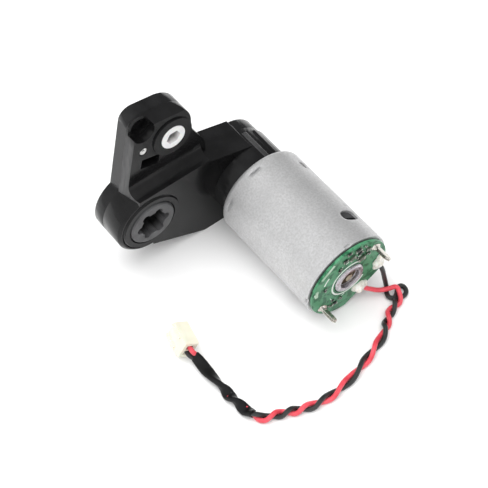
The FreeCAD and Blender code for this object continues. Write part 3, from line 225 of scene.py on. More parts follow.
# Print on the board: an arc is (inner radius, outer radius, first angle, last angle, steps),
# a bar is (radius, angle, size outward, size round the board, turn)
PRINT_HEIGHT = 0.03
PRINT_SINK = 0.01
PRINT_ARCS = ((5.75, 6.25, -150, 128, 60), (9.6, 10.1, 24, 41, 24))
PRINT_BARS = (
    (8.2, 67, 0.25, 1.1, 0), (8.2, 82, 0.25, 1.1, 0), (8.2, 103, 0.25, 1.1, 0), (8.2, 110, 0.25, 1.1, 0),
    (12.3, 10, 0.5, 1.2, 20), (9.2, -61, 0.3, 1.4, 0), (6.9, -75, 0.3, 1.2, 30), (8.0, -40, 0.25, 1.6, -15),
)

# Small parts on the board, each (radius, angle, size outward, size round the board, height, turn):
# pale pads, and chips with a last value of 1 for a brown body and 0 for a black one
PADS = ((12.35, 50, 0.9, 5.4, 0.12, 0), (11.9, 12, 0.9, 2.6, 0.30, 8))
CHIPS = (
    (9.35, 92, 1.25, 2.0, 0.65, 20, 1), (10.3, 78, 0.9, 1.6, 0.5, -10, 0),
    (7.3, 120, 1.5, 2.4, 0.7, 35, 1), (9.9, 109, 0.9, 1.7, 0.55, 60, 0),
    (12.2, 86, 0.8, 1.5, 0.5, 0, 0), (8.3, 63, 0.8, 1.4, 0.5, 40, 0),
    (10.6, 124, 1.1, 1.6, 0.6, 10, 1), (9.3, -58, 1.0, 1.8, 0.55, 25, 0),
    (7.7, -68, 0.8, 1.3, 0.5, -20, 1), (8.2, 104, 0.6, 1.2, 0.4, -30, 0),
    (11.6, 101, 0.9, 2.1, 0.7, 15, 0), (11.9, 114, 0.7, 1.3, 0.4, -25, 1),
    (9.0, 133, 0.7, 1.4, 0.5, 5, 0), (8.2, -47, 0.6, 1.1, 0.35, 40, 0),
    (10.3, -50, 0.7, 1.2, 0.4, -15, 1), (8.9, 14, 0.8, 1.5, 0.45, 15, 0),
)
CHIP_BODY = 0.66
CHIP_END_PLACE = 0.41
CHIP_END_OUTWARD = 1.02
CHIP_END_ROUND = 0.2
CHIP_END_HEIGHT = 1.04
SOLDER_FACE = 2
PAD_FACE = 3

# Terminals, turned on the board in degrees: a blade has two leaves with a gap between them
BLADE_WIDE = 0.0020
BLADE_LEAF = 0.00043
BLADE_GAP = 0.00008
BLADE_ROOT = 0.0006
BLADE_POINT = 0.0011
BLADE_TIP = 0.0002
BLADE_TURN = -14.6
BLADE_SIDES = 16
BLADE_SQUARENESS = 0.35

# Solder round the terminals, in mm: half sizes at the top, and what its foot adds to them
FILLET_ROUND = (1.02, 0.85)
FILLET_OUT = (0.50, 0.75)
FILLET_HEIGHT = 1.1
FILLET_SINK = 0.02
FILLET_STEPS = 6
FILLET_CURVE = 2.2
FILLET_SIDES = 20
FILLET_SQUARENESS = 0.6
FILLET_WOBBLE = 0.10
FILLET_WOBBLES = 0.6
FILLET_SEED = 900

# Strips along the collar, in mm and degrees: a strip is (angle, span, rise, material, bead or flat)
COLLAR_RADIUS = 11.6
# Material 1 of the flat strip is the lighter grey of a painted reflection
COLLAR_STRIPS = ((124.0, 4.0, 0.42, 0, True), (106.0, 8.5, 0.16, 1, False))
STRIP_ENDS = (-6.4, 4.95)
STRIP_RAMP = 0.25
STRIP_RAMP_RISE = 0.2
STRIP_ROOT = 0.3
STRIP_STEPS = 12
STRIP_FLANKS = 6
BEAD_ROUNDNESS = 0.7
STRIP_SHARP_ANGLE = math.radians(50)

# White filling of the small hole in the ear: a ring is (share of its outline, level from its face)
EAR_FACE = -0.0054
PEEP_PLACE = (-0.0023, 0.0244)
PEEP_SIZE = (0.0020, 0.0027)
PEEP_FLAT = 1.15
PEEP_SIDES = 36
PEEP_SUNK = 0.0002
PEEP_DEPTH = 0.0012
PEEP_EASE = 0.0002
PEEP_PIT = 0.0004
PEEP_PIT_SHARE = 0.42
PEEP_RINGS = (
    (1.0, -PEEP_DEPTH), (1.0, -PEEP_EASE), (0.92, 0.0), (0.40, 0.0), (0.30, -PEEP_PIT), (0.02, -PEEP_PIT),
)


# Finishes

class Finish:
    """One procedural finish. Noise in the part's own metres drives its colour, gloss and grain."""

    def __init__(self, name, **constants):
        self.material = bpy.data.materials.new(name)
        self.material.use_nodes = True
        self.tree = self.material.node_tree
        self.shader = self.tree.nodes["Principled BSDF"]
        for socket, value in constants.items():
            self.shader.inputs[socket.replace("_", " ")].default_value = value
        self.place = self.add("ShaderNodeTexCoord").outputs["Object"]
        self.normal = None

    def add(self, kind):
        return self.tree.nodes.new(kind)

    def link(self, source, target):
        self.tree.links.new(source, target)

    def noise(self, size, detail=3.0, stretch=(1, 1, 1)):
        """Noise from 0 to 1 with features about size across."""
        mapping = self.add("ShaderNodeMapping")
        mapping.inputs["Scale"].default_value = [share / size for share in stretch]
        self.link(self.place, mapping.inputs["Vector"])
        texture = self.add("ShaderNodeTexNoise")
        texture.inputs["Scale"].default_value = 1.0
        texture.inputs["Detail"].default_value = detail
        self.link(mapping.outputs["Vector"], texture.inputs["Vector"])
        return texture.outputs["Fac"]

    def spread(self, value, low, high, start=0.35, end=0.65):
        """Stretches a value, by default the middle of a noise, to run from low to high."""
        reach = self.add("ShaderNodeMapRange")
        for socket, number in (("From Min", start), ("From Max", end), ("To Min", low), ("To Max", high)):
            reach.inputs[socket].default_value = number
        self.link(value, reach.inputs["Value"])
        return reach.outputs["Result"]

    def part_of(self, vector, axis):
        """One coordinate of a vector."""
        node = self.add("ShaderNodeSeparateXYZ")
        self.link(vector, node.inputs[0])
        return node.outputs[axis]

    def times(self, first, second):
        """Product of two values."""
        node = self.add("ShaderNodeMath")
        node.operation = "MULTIPLY"
        self.link(first, node.inputs[0])
        self.link(second, node.inputs[1])
        return node.outputs[0]

    def mix(self, factor, first, second):
        """Colour between first and second; each is a colour or another mix."""
        node = self.add("ShaderNodeMix")
        node.data_type = "RGBA"
        self.link(factor, node.inputs[0])
        for socket, colour in ((node.inputs[6], first), (node.inputs[7], second)):
            if isinstance(colour, bpy.types.NodeSocket):
                self.link(colour, socket)
            else:
                socket.default_value = (*colour, 1.0)
        return node.outputs[2]

    def clouded(self, size, dark, light, detail=3.0, stretch=(1, 1, 1)):
        """Colour that drifts from dark to light over about that size."""
        return self.mix(self.spread(self.noise(size, detail, stretch), 0, 1), dark, light)

    def colour(self, socket):
        self.link(socket, self.shader.inputs["Base Color"])

    def gloss(self, socket):
        self.link(socket, self.shader.inputs["Roughness"])

    def grain(self, height, depth):
        """Adds a relief of that depth to the surface."""
        bump = self.add("ShaderNodeBump")
        bump.inputs["Distance"].default_value = depth
        self.link(height, bump.inputs["Height"])
        if self.normal is not None:
            self.link(self.normal, bump.inputs["Normal"])
        self.normal = bump.outputs["Normal"]
        self.link(self.normal, self.shader.inputs["Normal"])

    def moulded_skin(self, rough, depth=GRAIN_DEPTH):
        """Fine sparkle in the gloss, and a fine grain with it."""
        fine = self.noise(GRAIN_SIZE, detail=2.0)
        self.gloss(self.spread(fine, *rough))
        self.grain(fine, depth)


def moulded(name, dark, light, rough, grain_depth=GRAIN_DEPTH, **constants):
    """Moulded plastic: slow drift of tone, fine sparkle in its gloss and a fine moulded grain."""
    finish = Finish(name, **constants)
    finish.colour(finish.clouded(DRIFT_SIZE, dark, light))
    finish.moulded_skin(rough, grain_depth)
    finish.grain(finish.noise(WAVE_SIZE), grain_depth * WAVE_DEPTHS)
    return finish.material


def side_sheen_black():
    """Black moulded plastic, with a painted reflection in pale streaks up the ear's side face."""
    finish = Finish("black_plastic", Specular_IOR_Level=0.21)
    tone = finish.clouded(DRIFT_SIZE, (0.0058, 0.0058, 0.0060), (0.0098, 0.0098, 0.0102))
    facing = finish.add("ShaderNodeTexCoord").outputs["Normal"]
    sideways = finish.spread(finish.part_of(facing, "X"), 0, 1, *SHEEN_FACING)
    high = finish.spread(finish.part_of(finish.place, "Z"), 0, 1, *SHEEN_HEIGHT)
    outer = finish.spread(finish.part_of(finish.place, "X"), 0, 1, *SHEEN_SIDE)
    marks = finish.spread(finish.noise(0.0012, detail=4.0, stretch=(1, 1, 0.05)), 0.55, 1.0)
    # Pale streaks only on faces turned to +X: a painted reflection of the bright table beside the part
    painted_sheen = finish.times(finish.times(sideways, high), finish.times(outer, marks))
    finish.colour(finish.mix(painted_sheen, tone, (0.078, 0.078, 0.079)))
    finish.moulded_skin((0.12, 0.21))
    finish.grain(finish.noise(WAVE_SIZE), GRAIN_DEPTH * WAVE_DEPTHS)
    return finish.material


def shaded_bore(name, face_tones, shade_tones, shade_from, rough, **constants):
    """Moulded plastic with a plain face that turns darker deeper in its bore: a painted shade."""
    finish = Finish(name, **constants)
    face = finish.clouded(0.003, *face_tones)
    deep = finish.clouded(0.0009, *shade_tones)
    level = finish.part_of(finish.place, "Y")
    # Darker deeper along the bore: painted shade in the hollow
    finish.colour(finish.mix(finish.spread(level, 0, 1, *shade_from), deep, face))
    finish.moulded_skin(rough)
    return finish.material


def metal(name, dark, light, rough, size, stretch=(1, 1, 1), depth=0.000002):
    """Bare or plated metal with a mottle, or with marks drawn out along one direction."""
    finish = Finish(name, Metallic=1.0)
    finish.colour(finish.clouded(size, dark, light, 4.0, stretch))
    fine = finish.noise(size / 6, stretch=stretch)
    finish.gloss(finish.spread(fine, *rough))
    finish.grain(fine, depth)
    return finish.material


def can_plating():
    """Satin nickel plating: cloudy mottle, drawing marks along the can and a few dark specks."""
    finish = Finish("can_plating", Metallic=0.66)
    mottle = finish.noise(0.00055, detail=2.0)
    drawn = finish.noise(0.0008, stretch=(1, 0.06, 1))
    tone = finish.clouded(0.0060, (0.55, 0.55, 0.555), (0.61, 0.61, 0.615), 4.0)
    tone = finish.mix(finish.spread(mottle, 0, 0.8), tone, (0.49, 0.49, 0.49))
    speck = finish.noise(0.0006, detail=2.0)
    tone = finish.mix(finish.spread(speck, 0, 0.8, 0.72, 0.80), tone, (0.30, 0.29, 0.28))
    finish.colour(tone)
    finish.gloss(finish.spread(mottle, 0.40, 0.54))
    finish.grain(drawn, 0.000004)
    finish.grain(mottle, 0.000045)
    return finish.material


def board_mask():
    """Green solder mask: copper areas and square tracks show lighter through it, under a thin dust."""
    finish = Finish("board_mask", Specular_IOR_Level=0.25)
    cells = finish.add("ShaderNodeTexVoronoi")
    cells.distance = "CHEBYCHEV"
    cells.inputs["Scale"].default_value = 420.0
    finish.link(finish.place, cells.inputs["Vector"])
    pours = finish.noise(0.0026, detail=2.0)
    tone = finish.mix(finish.spread(pours, 0, 1, 0.46, 0.50), (0.014, 0.105, 0.045), (0.058, 0.225, 0.112))
    tracks = finish.spread(cells.outputs["Distance"], 0, 0.5, 0.50, 0.54)
    tone = finish.mix(tracks, tone, (0.085, 0.29, 0.155))
    dust = finish.noise(0.0005)
    tone = finish.mix(finish.spread(dust, 0, 0.35, 0.55, 0.75), tone, (0.20, 0.38, 0.27))
    finish.colour(tone)
    finish.gloss(finish.spread(dust, 0.28, 0.42))
    finish.grain(pours, 0.00002)
    finish.grain(dust, 0.000006)
    return finish.material


def insulation(name, dark, light, rough):
    """Soft wire insulation with a slow drift of tone, a fine grain and a dull bloom."""
    finish = Finish(name, Coat_Weight=0.15, Coat_Roughness=0.3)
    finish.colour(finish.clouded(0.003, dark, light))
    fine = finish.noise(0.00025)
    finish.gloss(finish.spread(fine, *rough))
    finish.grain(fine, 0.000008)
    return finish.material


def shrunk_tube():
    """Heat-shrunk tubing: satin, with small puckers."""
    finish = Finish("shrunk_tube", Specular_IOR_Level=0.18)
    finish.colour(finish.clouded(0.004, (0.005, 0.005, 0.005), (0.010, 0.010, 0.011)))
    pucker = finish.noise(0.0009)
    finish.gloss(finish.spread(pucker, 0.30, 0.44))
    finish.grain(pucker, 0.00005)
    return finish.material


def cured_glue():
    """Milky glue with small bubbles under a soft skin."""
    finish = Finish("cured_glue", Subsurface_Weight=0.6, Subsurface_Scale=0.0012, Coat_Weight=0.3)
    finish.shader.inputs["Subsurface Radius"].default_value = (1.0, 0.85, 0.7)
    cloud = finish.noise(0.0012, detail=4.0)
    tone = finish.mix(finish.spread(cloud, 0, 1), (0.62, 0.60, 0.53), (0.86, 0.85, 0.80))
    bubbles = finish.noise(0.0003, detail=2.0)
    tone = finish.mix(finish.spread(bubbles, 0, 0.5, 0.62, 0.72), tone, (0.45, 0.42, 0.34))
    finish.colour(tone)
    finish.gloss(finish.spread(bubbles, 0.22, 0.45))
    finish.grain(cloud, 0.00006)
    return finish.material


BLACK_PLASTIC = side_sheen_black()
COVER_PLASTIC = moulded(
    "cover_plastic", (0.0050, 0.0050, 0.0053), (0.0110, 0.0110, 0.0115), (0.12, 0.22),
    Specular_IOR_Level=0.28,
)
# Lighter grey of the flat collar strip: a painted reflection on the black collar
SHEEN_STRIP_PLASTIC = moulded("strip_plastic", (0.026, 0.026, 0.027), (0.045, 0.045, 0.046), (0.22, 0.34))
# Drive socket: darker deep in its bore, a painted shade
SOCKET_PLASTIC = shaded_bore(
    "socket_plastic", ((0.050, 0.050, 0.052), (0.080, 0.080, 0.083)),
    ((0.005, 0.005, 0.005), (0.014, 0.014, 0.014)), SOCKET_SHADE_FROM, (0.34, 0.48),
    Specular_IOR_Level=0.35,
)
GEAR_PLASTIC = moulded("gear_plastic", (0.70, 0.69, 0.66), (0.80, 0.79, 0.76), (0.35, 0.48))
# Bush: darker deep in its bore, a painted shade
BUSH_PLASTIC = shaded_bore(
    "bush_plastic", ((0.74, 0.74, 0.74), (0.84, 0.84, 0.83)), ((0.22, 0.22, 0.22), (0.42, 0.42, 0.42)),
    BUSH_SHADE_FROM, (0.30, 0.42), Subsurface_Weight=0.1, Subsurface_Scale=0.001,
)
INSERT_PLASTIC = moulded("insert_plastic", (0.66, 0.66, 0.65), (0.80, 0.80, 0.78), (0.30, 0.42))
CAP_PLASTIC = moulded("cap_plastic", (0.05, 0.05, 0.05), (0.08, 0.08, 0.08), (0.35, 0.5))
PLUG_PLASTIC = moulded(
    "plug_plastic", (0.68, 0.66, 0.53), (0.78, 0.77, 0.64), (0.30, 0.45),
    Subsurface_Weight=0.15, Subsurface_Scale=0.001,
)
FERRITE = moulded("ferrite", (0.02, 0.02, 0.022), (0.05, 0.05, 0.052), (0.5, 0.7), grain_depth=0.00001)
CARBON = moulded("carbon", (0.015, 0.015, 0.015), (0.04, 0.04, 0.04), (0.4, 0.6), grain_depth=0.00001)
CAN_PLATING = can_plating()
ZINC = metal("zinc", (0.45, 0.45, 0.44), (0.65, 0.64, 0.60), (0.28, 0.42), 0.0008)
GROUND_STEEL = metal(
    "ground_steel", (0.50, 0.50, 0.51), (0.68, 0.68, 0.70), (0.16, 0.30), 0.0006, (1, 6, 1),
)
CUP_STEEL = metal("cup_steel", (0.40, 0.385, 0.41), (0.62, 0.60, 0.635), (0.22, 0.34), 0.0009)
BRASS = metal("brass", (0.52, 0.36, 0.14), (0.72, 0.54, 0.25), (0.22, 0.36), 0.0007)
# Bronze darkened nearly to black: painted shade for the dark recess round the rear bearing
BRONZE = metal("bronze", (0.06, 0.04, 0.02), (0.16, 0.11, 0.06), (0.35, 0.55), 0.0005, depth=0.00001)
TINNED = metal("tinned", (0.50, 0.47, 0.41), (0.76, 0.74, 0.69), (0.12, 0.30), 0.0005, depth=0.000006)
# Shaft steel in a dark brownish tone, darkened as painted shade for the shaft's end in that recess
SHAFT_STEEL = metal("shaft_steel", (0.26, 0.22, 0.14), (0.52, 0.46, 0.33), (0.20, 0.38), 0.0005)
COPPER = metal(
    "enamelled_copper", (0.42, 0.15, 0.06), (0.72, 0.32, 0.14), (0.2, 0.35), 0.0003, (1, 0.1, 1),
)
LAMINATIONS = metal(
    "laminations", (0.12, 0.12, 0.13), (0.34, 0.34, 0.35), (0.35, 0.55), 0.0005, (0.1, 8, 0.1),
)
BOARD_MASK = board_mask()
GLUE = cured_glue()
BLACK_INSULATION = insulation(
    "black_insulation", (0.012, 0.013, 0.013), (0.024, 0.025, 0.025), (0.34, 0.46),
)
RED_INSULATION = insulation("red_insulation", (0.60, 0.045, 0.065), (0.76, 0.080, 0.110), (0.30, 0.42))
SLEEVE_TUBE = shrunk_tube()
PRINT_WHITE = moulded(
    "print_white", (0.62, 0.68, 0.62), (0.80, 0.84, 0.80), (0.5, 0.65), grain_depth=0.00001,
)
CHIP_BLACK = moulded("chip_black", (0.010, 0.014, 0.011), (0.025, 0.032, 0.027), (0.3, 0.5))
CHIP_BROWN = moulded("chip_brown", (0.035, 0.055, 0.035), (0.08, 0.11, 0.075), (0.3, 0.45))
PALE_PAD = moulded("pale_pad", (0.26, 0.42, 0.29), (0.52, 0.64, 0.52), (0.3, 0.5), grain_depth=0.00002)
DULL_SOLDER = metal(
    "dull_solder", (0.20, 0.22, 0.19), (0.52, 0.55, 0.49), (0.25, 0.45), 0.0004, depth=0.00001,
)

NODE_FINISHES = (
    (BLACK_PLASTIC, "gearbox_housing"), (COVER_PLASTIC, "gearbox_cover"), (BUSH_PLASTIC, "ear_bush"),
    (ZINC, "cover_screws", "motor_screws"), (GROUND_STEEL, "gear_axles", "magnet_clip"),
    (BRASS, "motor_pinion", "brush_arm_positive", "brush_arm_negative"), (SOCKET_PLASTIC, "output_gear"),
    (GEAR_PLASTIC, "first_gear", "second_gear", "shaft_spacer"), (CAN_PLATING, "motor_can"),
    (BRONZE, "front_bearing", "rear_bearing"), (FERRITE, "magnet_north", "magnet_south"),
    (SHAFT_STEEL, "motor_shaft"), (LAMINATIONS, "armature_core"), (CAP_PLASTIC, "end_cap"),
    (COPPER, "armature_windings", "commutator"), (CARBON, "brush_positive", "brush_negative"),
    (CUP_STEEL, "rear_bearing_cup"), (BOARD_MASK, "circuit_board"),
    (TINNED, "terminal_positive", "terminal_negative", "plug_contacts"),
    (GLUE, "black_joint", "red_joint"), (BLACK_INSULATION, "black_lead", "black_tail"),
    (RED_INSULATION, "red_lead", "red_tail", "twisted_pair"), (SLEEVE_TUBE, "shrink_sleeve"),
    (PLUG_PLASTIC, "plug_housing"),
)

# Rounding of the moulded and pressed edges, in metres
EASED_EDGES = {
    "gearbox_housing": 0.00028, "gearbox_cover": 0.00028, "ear_bush": 0.00020, "output_gear": 0.00016,
    "rear_bearing_cup": 0.00020, "circuit_board": 0.00008, "plug_housing": 0.00015,
}


def dress_nodes():
    """Gives every carried-over piece its finish, and rounds the edges that show."""
    for material, *names in NODE_FINISHES:
        for name in names:
            nodes[name].data.materials.clear()
            nodes[name].data.materials.append(material)
    for name, width in EASED_EDGES.items():
        piece = nodes[name]
        piece.modifiers.new("weld", "WELD").merge_threshold = EDGE_WELD
        bevel = piece.modifiers.new("eased_edges", "BEVEL")
        bevel.width = width
        bevel.segments = EDGE_STEPS
        bevel.angle_limit = EDGE_ANGLE
        bevel.harden_normals = True


# Mesh helpers

def linked(name, data):
    """Object with that data, linked to the scene."""
    item = bpy.data.objects.new(name, data)
    bpy.context.scene.collection.objects.link(item)
    return item


def finished_piece(name, mesh, materials, smooth=True):
    """Makes a mesh into a piece that rides on the housing."""
    piece = linked(name, mesh)
    for material in materials:
        mesh.materials.append(material)
    for face in mesh.polygons:
        face.use_smooth = smooth
    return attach(piece, "housing")


def mesh_of(build):
    """Fills a bmesh with build and returns it as a mesh."""
    form = bmesh.new()
    build(form)
    bmesh.ops.recalc_face_normals(form, faces=form.faces)
    mesh = bpy.data.meshes.new("mesh")
    form.to_mesh(mesh)
    form.free()
    return mesh


def loft(form, rings, cap_ends=True, material=0):
    """Joins rings of as many points each into one skin."""
    rows = [[form.verts.new(point) for point in ring] for ring in rings]
    count = len(rows[0])
    for low, high in zip(rows, rows[1:]):
        for i in range(count):
            j = (i + 1) % count
            form.faces.new((low[i], low[j], high[j], high[i])).material_index = material
    if cap_ends:
        for row in (rows[0], rows[-1]):
            form.faces.new(row).material_index = material


def rounded(turn, power):
    """Point at that turn on an outline from -1 to 1 each way: a circle at power 1, squarer below it."""
    a = math.cos(turn)
    b = math.sin(turn)
    return math.copysign(abs(a) ** power, a), math.copysign(abs(b) ** power, b)


def round_motor(radius, angle, y):
    """Place by the distance in mm from the motor's axis and the angle in degrees from +X towards +Z."""
    turn = math.radians(angle)
    return Vector((MOTOR.x + radius * MM * math.cos(turn), y, MOTOR.z + radius * MM * math.sin(turn)))


def on_board(radius, angle, rise=0.0):
    """That place on the board's rear face, or above it."""
    return round_motor(radius, angle, BOARD_REAR + rise)


def axes_at(angle):
    """Unit vectors round and outward at that angle, and along the motor's axis."""
    turn = math.radians(angle)
    outward = Vector((math.cos(turn), 0, math.sin(turn)))
    return Vector((-math.sin(turn), 0, math.cos(turn))), outward, Vector((0, 1, 0))


# Can

def arc_length(angle, other, radius):
    """Shortest way round the can from one angle to another, with its sign."""
    return ((angle - other + 180) % 360 - 180) * math.pi / 180 * radius


def can_sink(angle, level, radius, length):
    """How far the can's outer skin is pressed in there, in mm."""
    sink = 0.0
    for centre in DENT_ANGLES:
        across = abs(arc_length(angle, centre, radius)) / DENT_HALF
        behind = (level - DENT_LEVEL) / DENT_RUN
        if across < 1 and 0 <= behind < 1:
            sink += DENT_DEPTH * math.sqrt(1 - across * across) * (1 - behind) ** DENT_FALL
    for centre, place in DIMPLES:
        reach = math.hypot(arc_length(angle, centre, radius), level - place) / DIMPLE_RADIUS
        if reach < 1:
            sink += DIMPLE_DEPTH * (1 - reach * reach)
    for centre, place, wide, long in VENTS:
        reach = math.hypot(arc_length(angle, centre, radius) / (wide / 2), (level - place) / (long / 2))
        sink += VENT_SINK * math.exp(-((max(reach, 1.0) - 1.0) / VENT_SINK_REACH) ** 2)
    for centre in CRIMP_ANGLES:
        if abs(arc_length(angle, centre, radius)) < CRIMP_HALF and level > length - CRIMP_DEPTH:
            sink += CRIMP_SINK
    return sink


def vent_cutter(centre, place, wide, long, radius, front):
    """Rounded plug that cuts a vent through the can's wall."""
    across, outward, along = axes_at(centre)
    middle = Vector((MOTOR.x, front + place * MM, MOTOR.z))
    rings = []
    for reach in VENT_CUT:
        ring = []
        for k in range(VENT_SIDES):
            a, b = rounded(2 * math.pi * k / VENT_SIDES, VENT_ROUNDING)
            spot = middle + outward * (radius + reach) * MM + across * (a * wide / 2) * MM
            ring.append(spot + along * (b * long / 2 * MM))
        rings.append(ring)
    return mesh_of(lambda form: loft(form, rings))


def can_profile(radius, length, bearing):
    """Section of the can as (radius, level) in mm, from its nose's hole round the outside and back."""
    bore = radius - CAN_WALL
    seat = NOSE_WALL - NOSE_LENGTH
    profile = [
        (NOSE_HOLE, -NOSE_LENGTH), (NOSE_RADIUS - NOSE_EASE, -NOSE_LENGTH),
        (NOSE_RADIUS, -NOSE_LENGTH + NOSE_EASE), (NOSE_RADIUS, -NOSE_FILLET),
        (NOSE_RADIUS + NOSE_FILLET, 0.0),
    ]
    for k in range(CAN_EDGE_STEPS + 1):
        turn = math.radians(90 * k / CAN_EDGE_STEPS)
        profile.append((radius - CAN_EDGE * (1 - math.sin(turn)), CAN_EDGE * (1 - math.cos(turn))))
    dents_start = DENT_LEVEL - STEP_DENTS[0]
    dents_end = DENT_LEVEL + DENT_RUN + STEP_DENTS[1]
    level = CAN_EDGE + STEP_START
    while level < length - CAN_RIM_EASE - STEP_END:
        profile.append((radius, level))
        close = dents_start < level < dents_end or level > length - STEP_RIM
        level += STEP_CLOSE if close else STEP_WIDE
    profile += [(radius, length - CAN_RIM_EASE), (radius - CAN_RIM_EASE, length), (bore, length)]
    profile += [(bore, CAN_WALL), (bearing, CAN_WALL), (bearing, seat), (NOSE_HOLE, seat)]
    return profile


def make_can():
    """Drawn steel can with a rounded front edge, oval vents, dents, dimples and notches at its rim."""
    low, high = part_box("motor_can")
    radius = (high.x - low.x) / 2 / MM
    front = low.y + NOSE_LENGTH * MM
    length = (high.y - front) / MM
    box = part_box("front_bearing")
    bearing = (box[1].x - box[0].x) / 2 / MM

    def build(form):
        rows = []
        for reach, level in can_profile(radius, length, bearing):
            outer = reach > radius - CAN_SKIN and level > CAN_EDGE - STEP_START
            row = []
            for k in range(CAN_SEGMENTS):
                angle = 360 * k / CAN_SEGMENTS
                pressed = reach - can_sink(angle, level, radius, length) if outer else reach
                row.append(form.verts.new(round_motor(pressed, angle, front + level * MM)))
            rows.append(row)
        for first, second in zip(rows, rows[1:] + rows[:1]):
            for k in range(CAN_SEGMENTS):
                j = (k + 1) % CAN_SEGMENTS
                form.faces.new((first[k], first[j], second[j], second[k]))

    blank = linked("can_blank", mesh_of(build))
    cutters = []
    for vent in VENTS:
        cutter = linked("vent_cutter", vent_cutter(*vent, radius, front))
        cut = blank.modifiers.new("vent", "BOOLEAN")
        cut.object = cutter
        cut.solver = "EXACT"
        cutters.append(cutter)
    bpy.context.view_layer.update()
    mesh = bpy.data.meshes.new_from_object(blank.evaluated_get(bpy.context.evaluated_depsgraph_get()))
    for spare in [blank] + cutters:
        bpy.data.objects.remove(spare)
    piece = finished_piece("can_shell", mesh, [CAN_PLATING])
    mesh.set_sharp_from_angle(angle=CAN_SHARP_ANGLE)
    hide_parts("motor_can")


# Leads

def route_curve(name, points, steps):
    """Open smooth curve with a route's points as its control points."""
    curve = bpy.data.curves.new(name, "CURVE")
    curve.dimensions = "3D"
    curve.resolution_u = steps
    spline = curve.splines.new("NURBS")
    spline.points.add(len(points) - 1)
    for point, place in zip(spline.points, points):
        point.co = (*place, 1)
    spline.order_u = 3
    spline.use_endpoint_u = True
    return curve


def centre_line(points):
    """Points of the smooth line through a route, with their distances along it."""
    curve = route_curve("line", points, LINE_STEPS)
    line = linked("line", curve)
    mesh = bpy.data.meshes.new_from_object(line)
    spots = [v.co.copy() for v in mesh.vertices]
    bpy.data.objects.remove(line)
    bpy.data.curves.remove(curve)
    bpy.data.meshes.remove(mesh)
    walked = [0.0]
    for a, b in zip(spots, spots[1:]):
        walked.append(walked[-1] + (b - a).length)
    return spots, walked


PAIR_SPOTS, PAIR_WALKED = centre_line(PAIR_ROUTE + SLEEVE_ROUTE)
PAIR_LENGTH = PAIR_WALKED[-1]

# Twist at each crossing: a quarter turn at the first, and half a turn more at each next.
# After the last one the pair turns on by a quarter turn and by the plug's tilt.
CROSSING_PHASES = [math.radians(90 + 180 * k) for k in range(len(CROSSINGS))]
LAST_PHASE = CROSSING_PHASES[-1] + math.radians(90) + PLUG_TILT


def pair_at(distance):
    """Centre and heading of the pair at a distance along it."""
    distance = min(max(distance, 0.0), PAIR_LENGTH)
    i = 1
    while i < len(PAIR_WALKED) - 1 and PAIR_WALKED[i] < distance:
        i += 1
    share = (distance - PAIR_WALKED[i - 1]) / (PAIR_WALKED[i] - PAIR_WALKED[i - 1])
    heading = (PAIR_SPOTS[i] - PAIR_SPOTS[i - 1]).normalized()
    return PAIR_SPOTS[i - 1].lerp(PAIR_SPOTS[i], share), heading


def phase_at(distance):
    """How far the pair has twisted there."""
    marks = [*zip(CROSSINGS, CROSSING_PHASES), (PAIR_LENGTH, LAST_PHASE)]
    for (s0, p0), (s1, p1) in zip(marks, marks[1:]):
        if distance <= s1:
            return p0 + (p1 - p0) * max(0.0, (distance - s0) / (s1 - s0))
    return LAST_PHASE


def twist_at(distance):
    """Centre of the pair as it lies on the table, and the offset from it to the red wire."""
    centre, heading = pair_at(distance)
    phase = phase_at(distance)
    sideways = Vector((heading.y, -heading.x, 0)).normalized()
    in_sleeve = distance > SLEEVE_START
    wall = SLEEVE_WALL if in_sleeve else 0.0
    gap = SLEEVE_GAP if in_sleeve else PAIR_GAP
    stacked = abs(math.sin(phase))
    lying = TABLE + wall + WIRE_RADIUS * (1 + stacked)
    lift = max(0.0, (distance - SLEEVE_RISE) / (PAIR_LENGTH - SLEEVE_RISE)) ** 2
    centre.z = lying + (SLEEVE_END_HEIGHT - lying) * lift
    offset = sideways * math.cos(phase) * (WIRE_RADIUS + gap)
    offset += Vector((0, 0, 1)) * math.sin(phase) * WIRE_RADIUS
    return centre, offset


def strand(side):
    """Control points of one wire through the pair and the sleeve into its way of the plug."""
    start = CROSSINGS[0]
    first = phase_at(start)
    steps = int((LAST_PHASE - first) / STRAND_TURN)
    wanted = [first + (LAST_PHASE - first) * k / steps for k in range(steps + 1)]
    points = []
    for k in range(STRAND_SAMPLES + 1):
        distance = start + (PAIR_LENGTH - start) * k / STRAND_SAMPLES
        if wanted and phase_at(distance) >= wanted[0] - PHASE_SLACK:
            centre, offset = twist_at(distance)
            points.append(centre + offset * side)
            wanted.pop(0)
    level = Vector((math.sin(PLUG_HEADING), -math.cos(PLUG_HEADING), 0))
    row = level * math.cos(PLUG_TILT) + Vector((0, 0, 1)) * math.sin(PLUG_TILT)
    ahead = Vector((math.cos(PLUG_HEADING), math.sin(PLUG_HEADING), 0))
    way = PLUG_REAR + row * side * PLUG_PITCH / 2
    points.append(way - ahead * PLUG_APPROACH)
    points.append(way + ahead * PLUG_DEPTH)
    return points


def wire(name, route, side, material):
    """Round wire on one smooth curve: its own route, and then its strand of the pair."""
    curve = route_curve(name, [*route, *strand(side)], WIRE_STEPS)
    curve.bevel_depth = WIRE_RADIUS
    curve.bevel_resolution = WIRE_ROUNDNESS
    curve.use_fill_caps = True
    curve.materials.append(material)
    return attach(linked(name, curve), "housing")


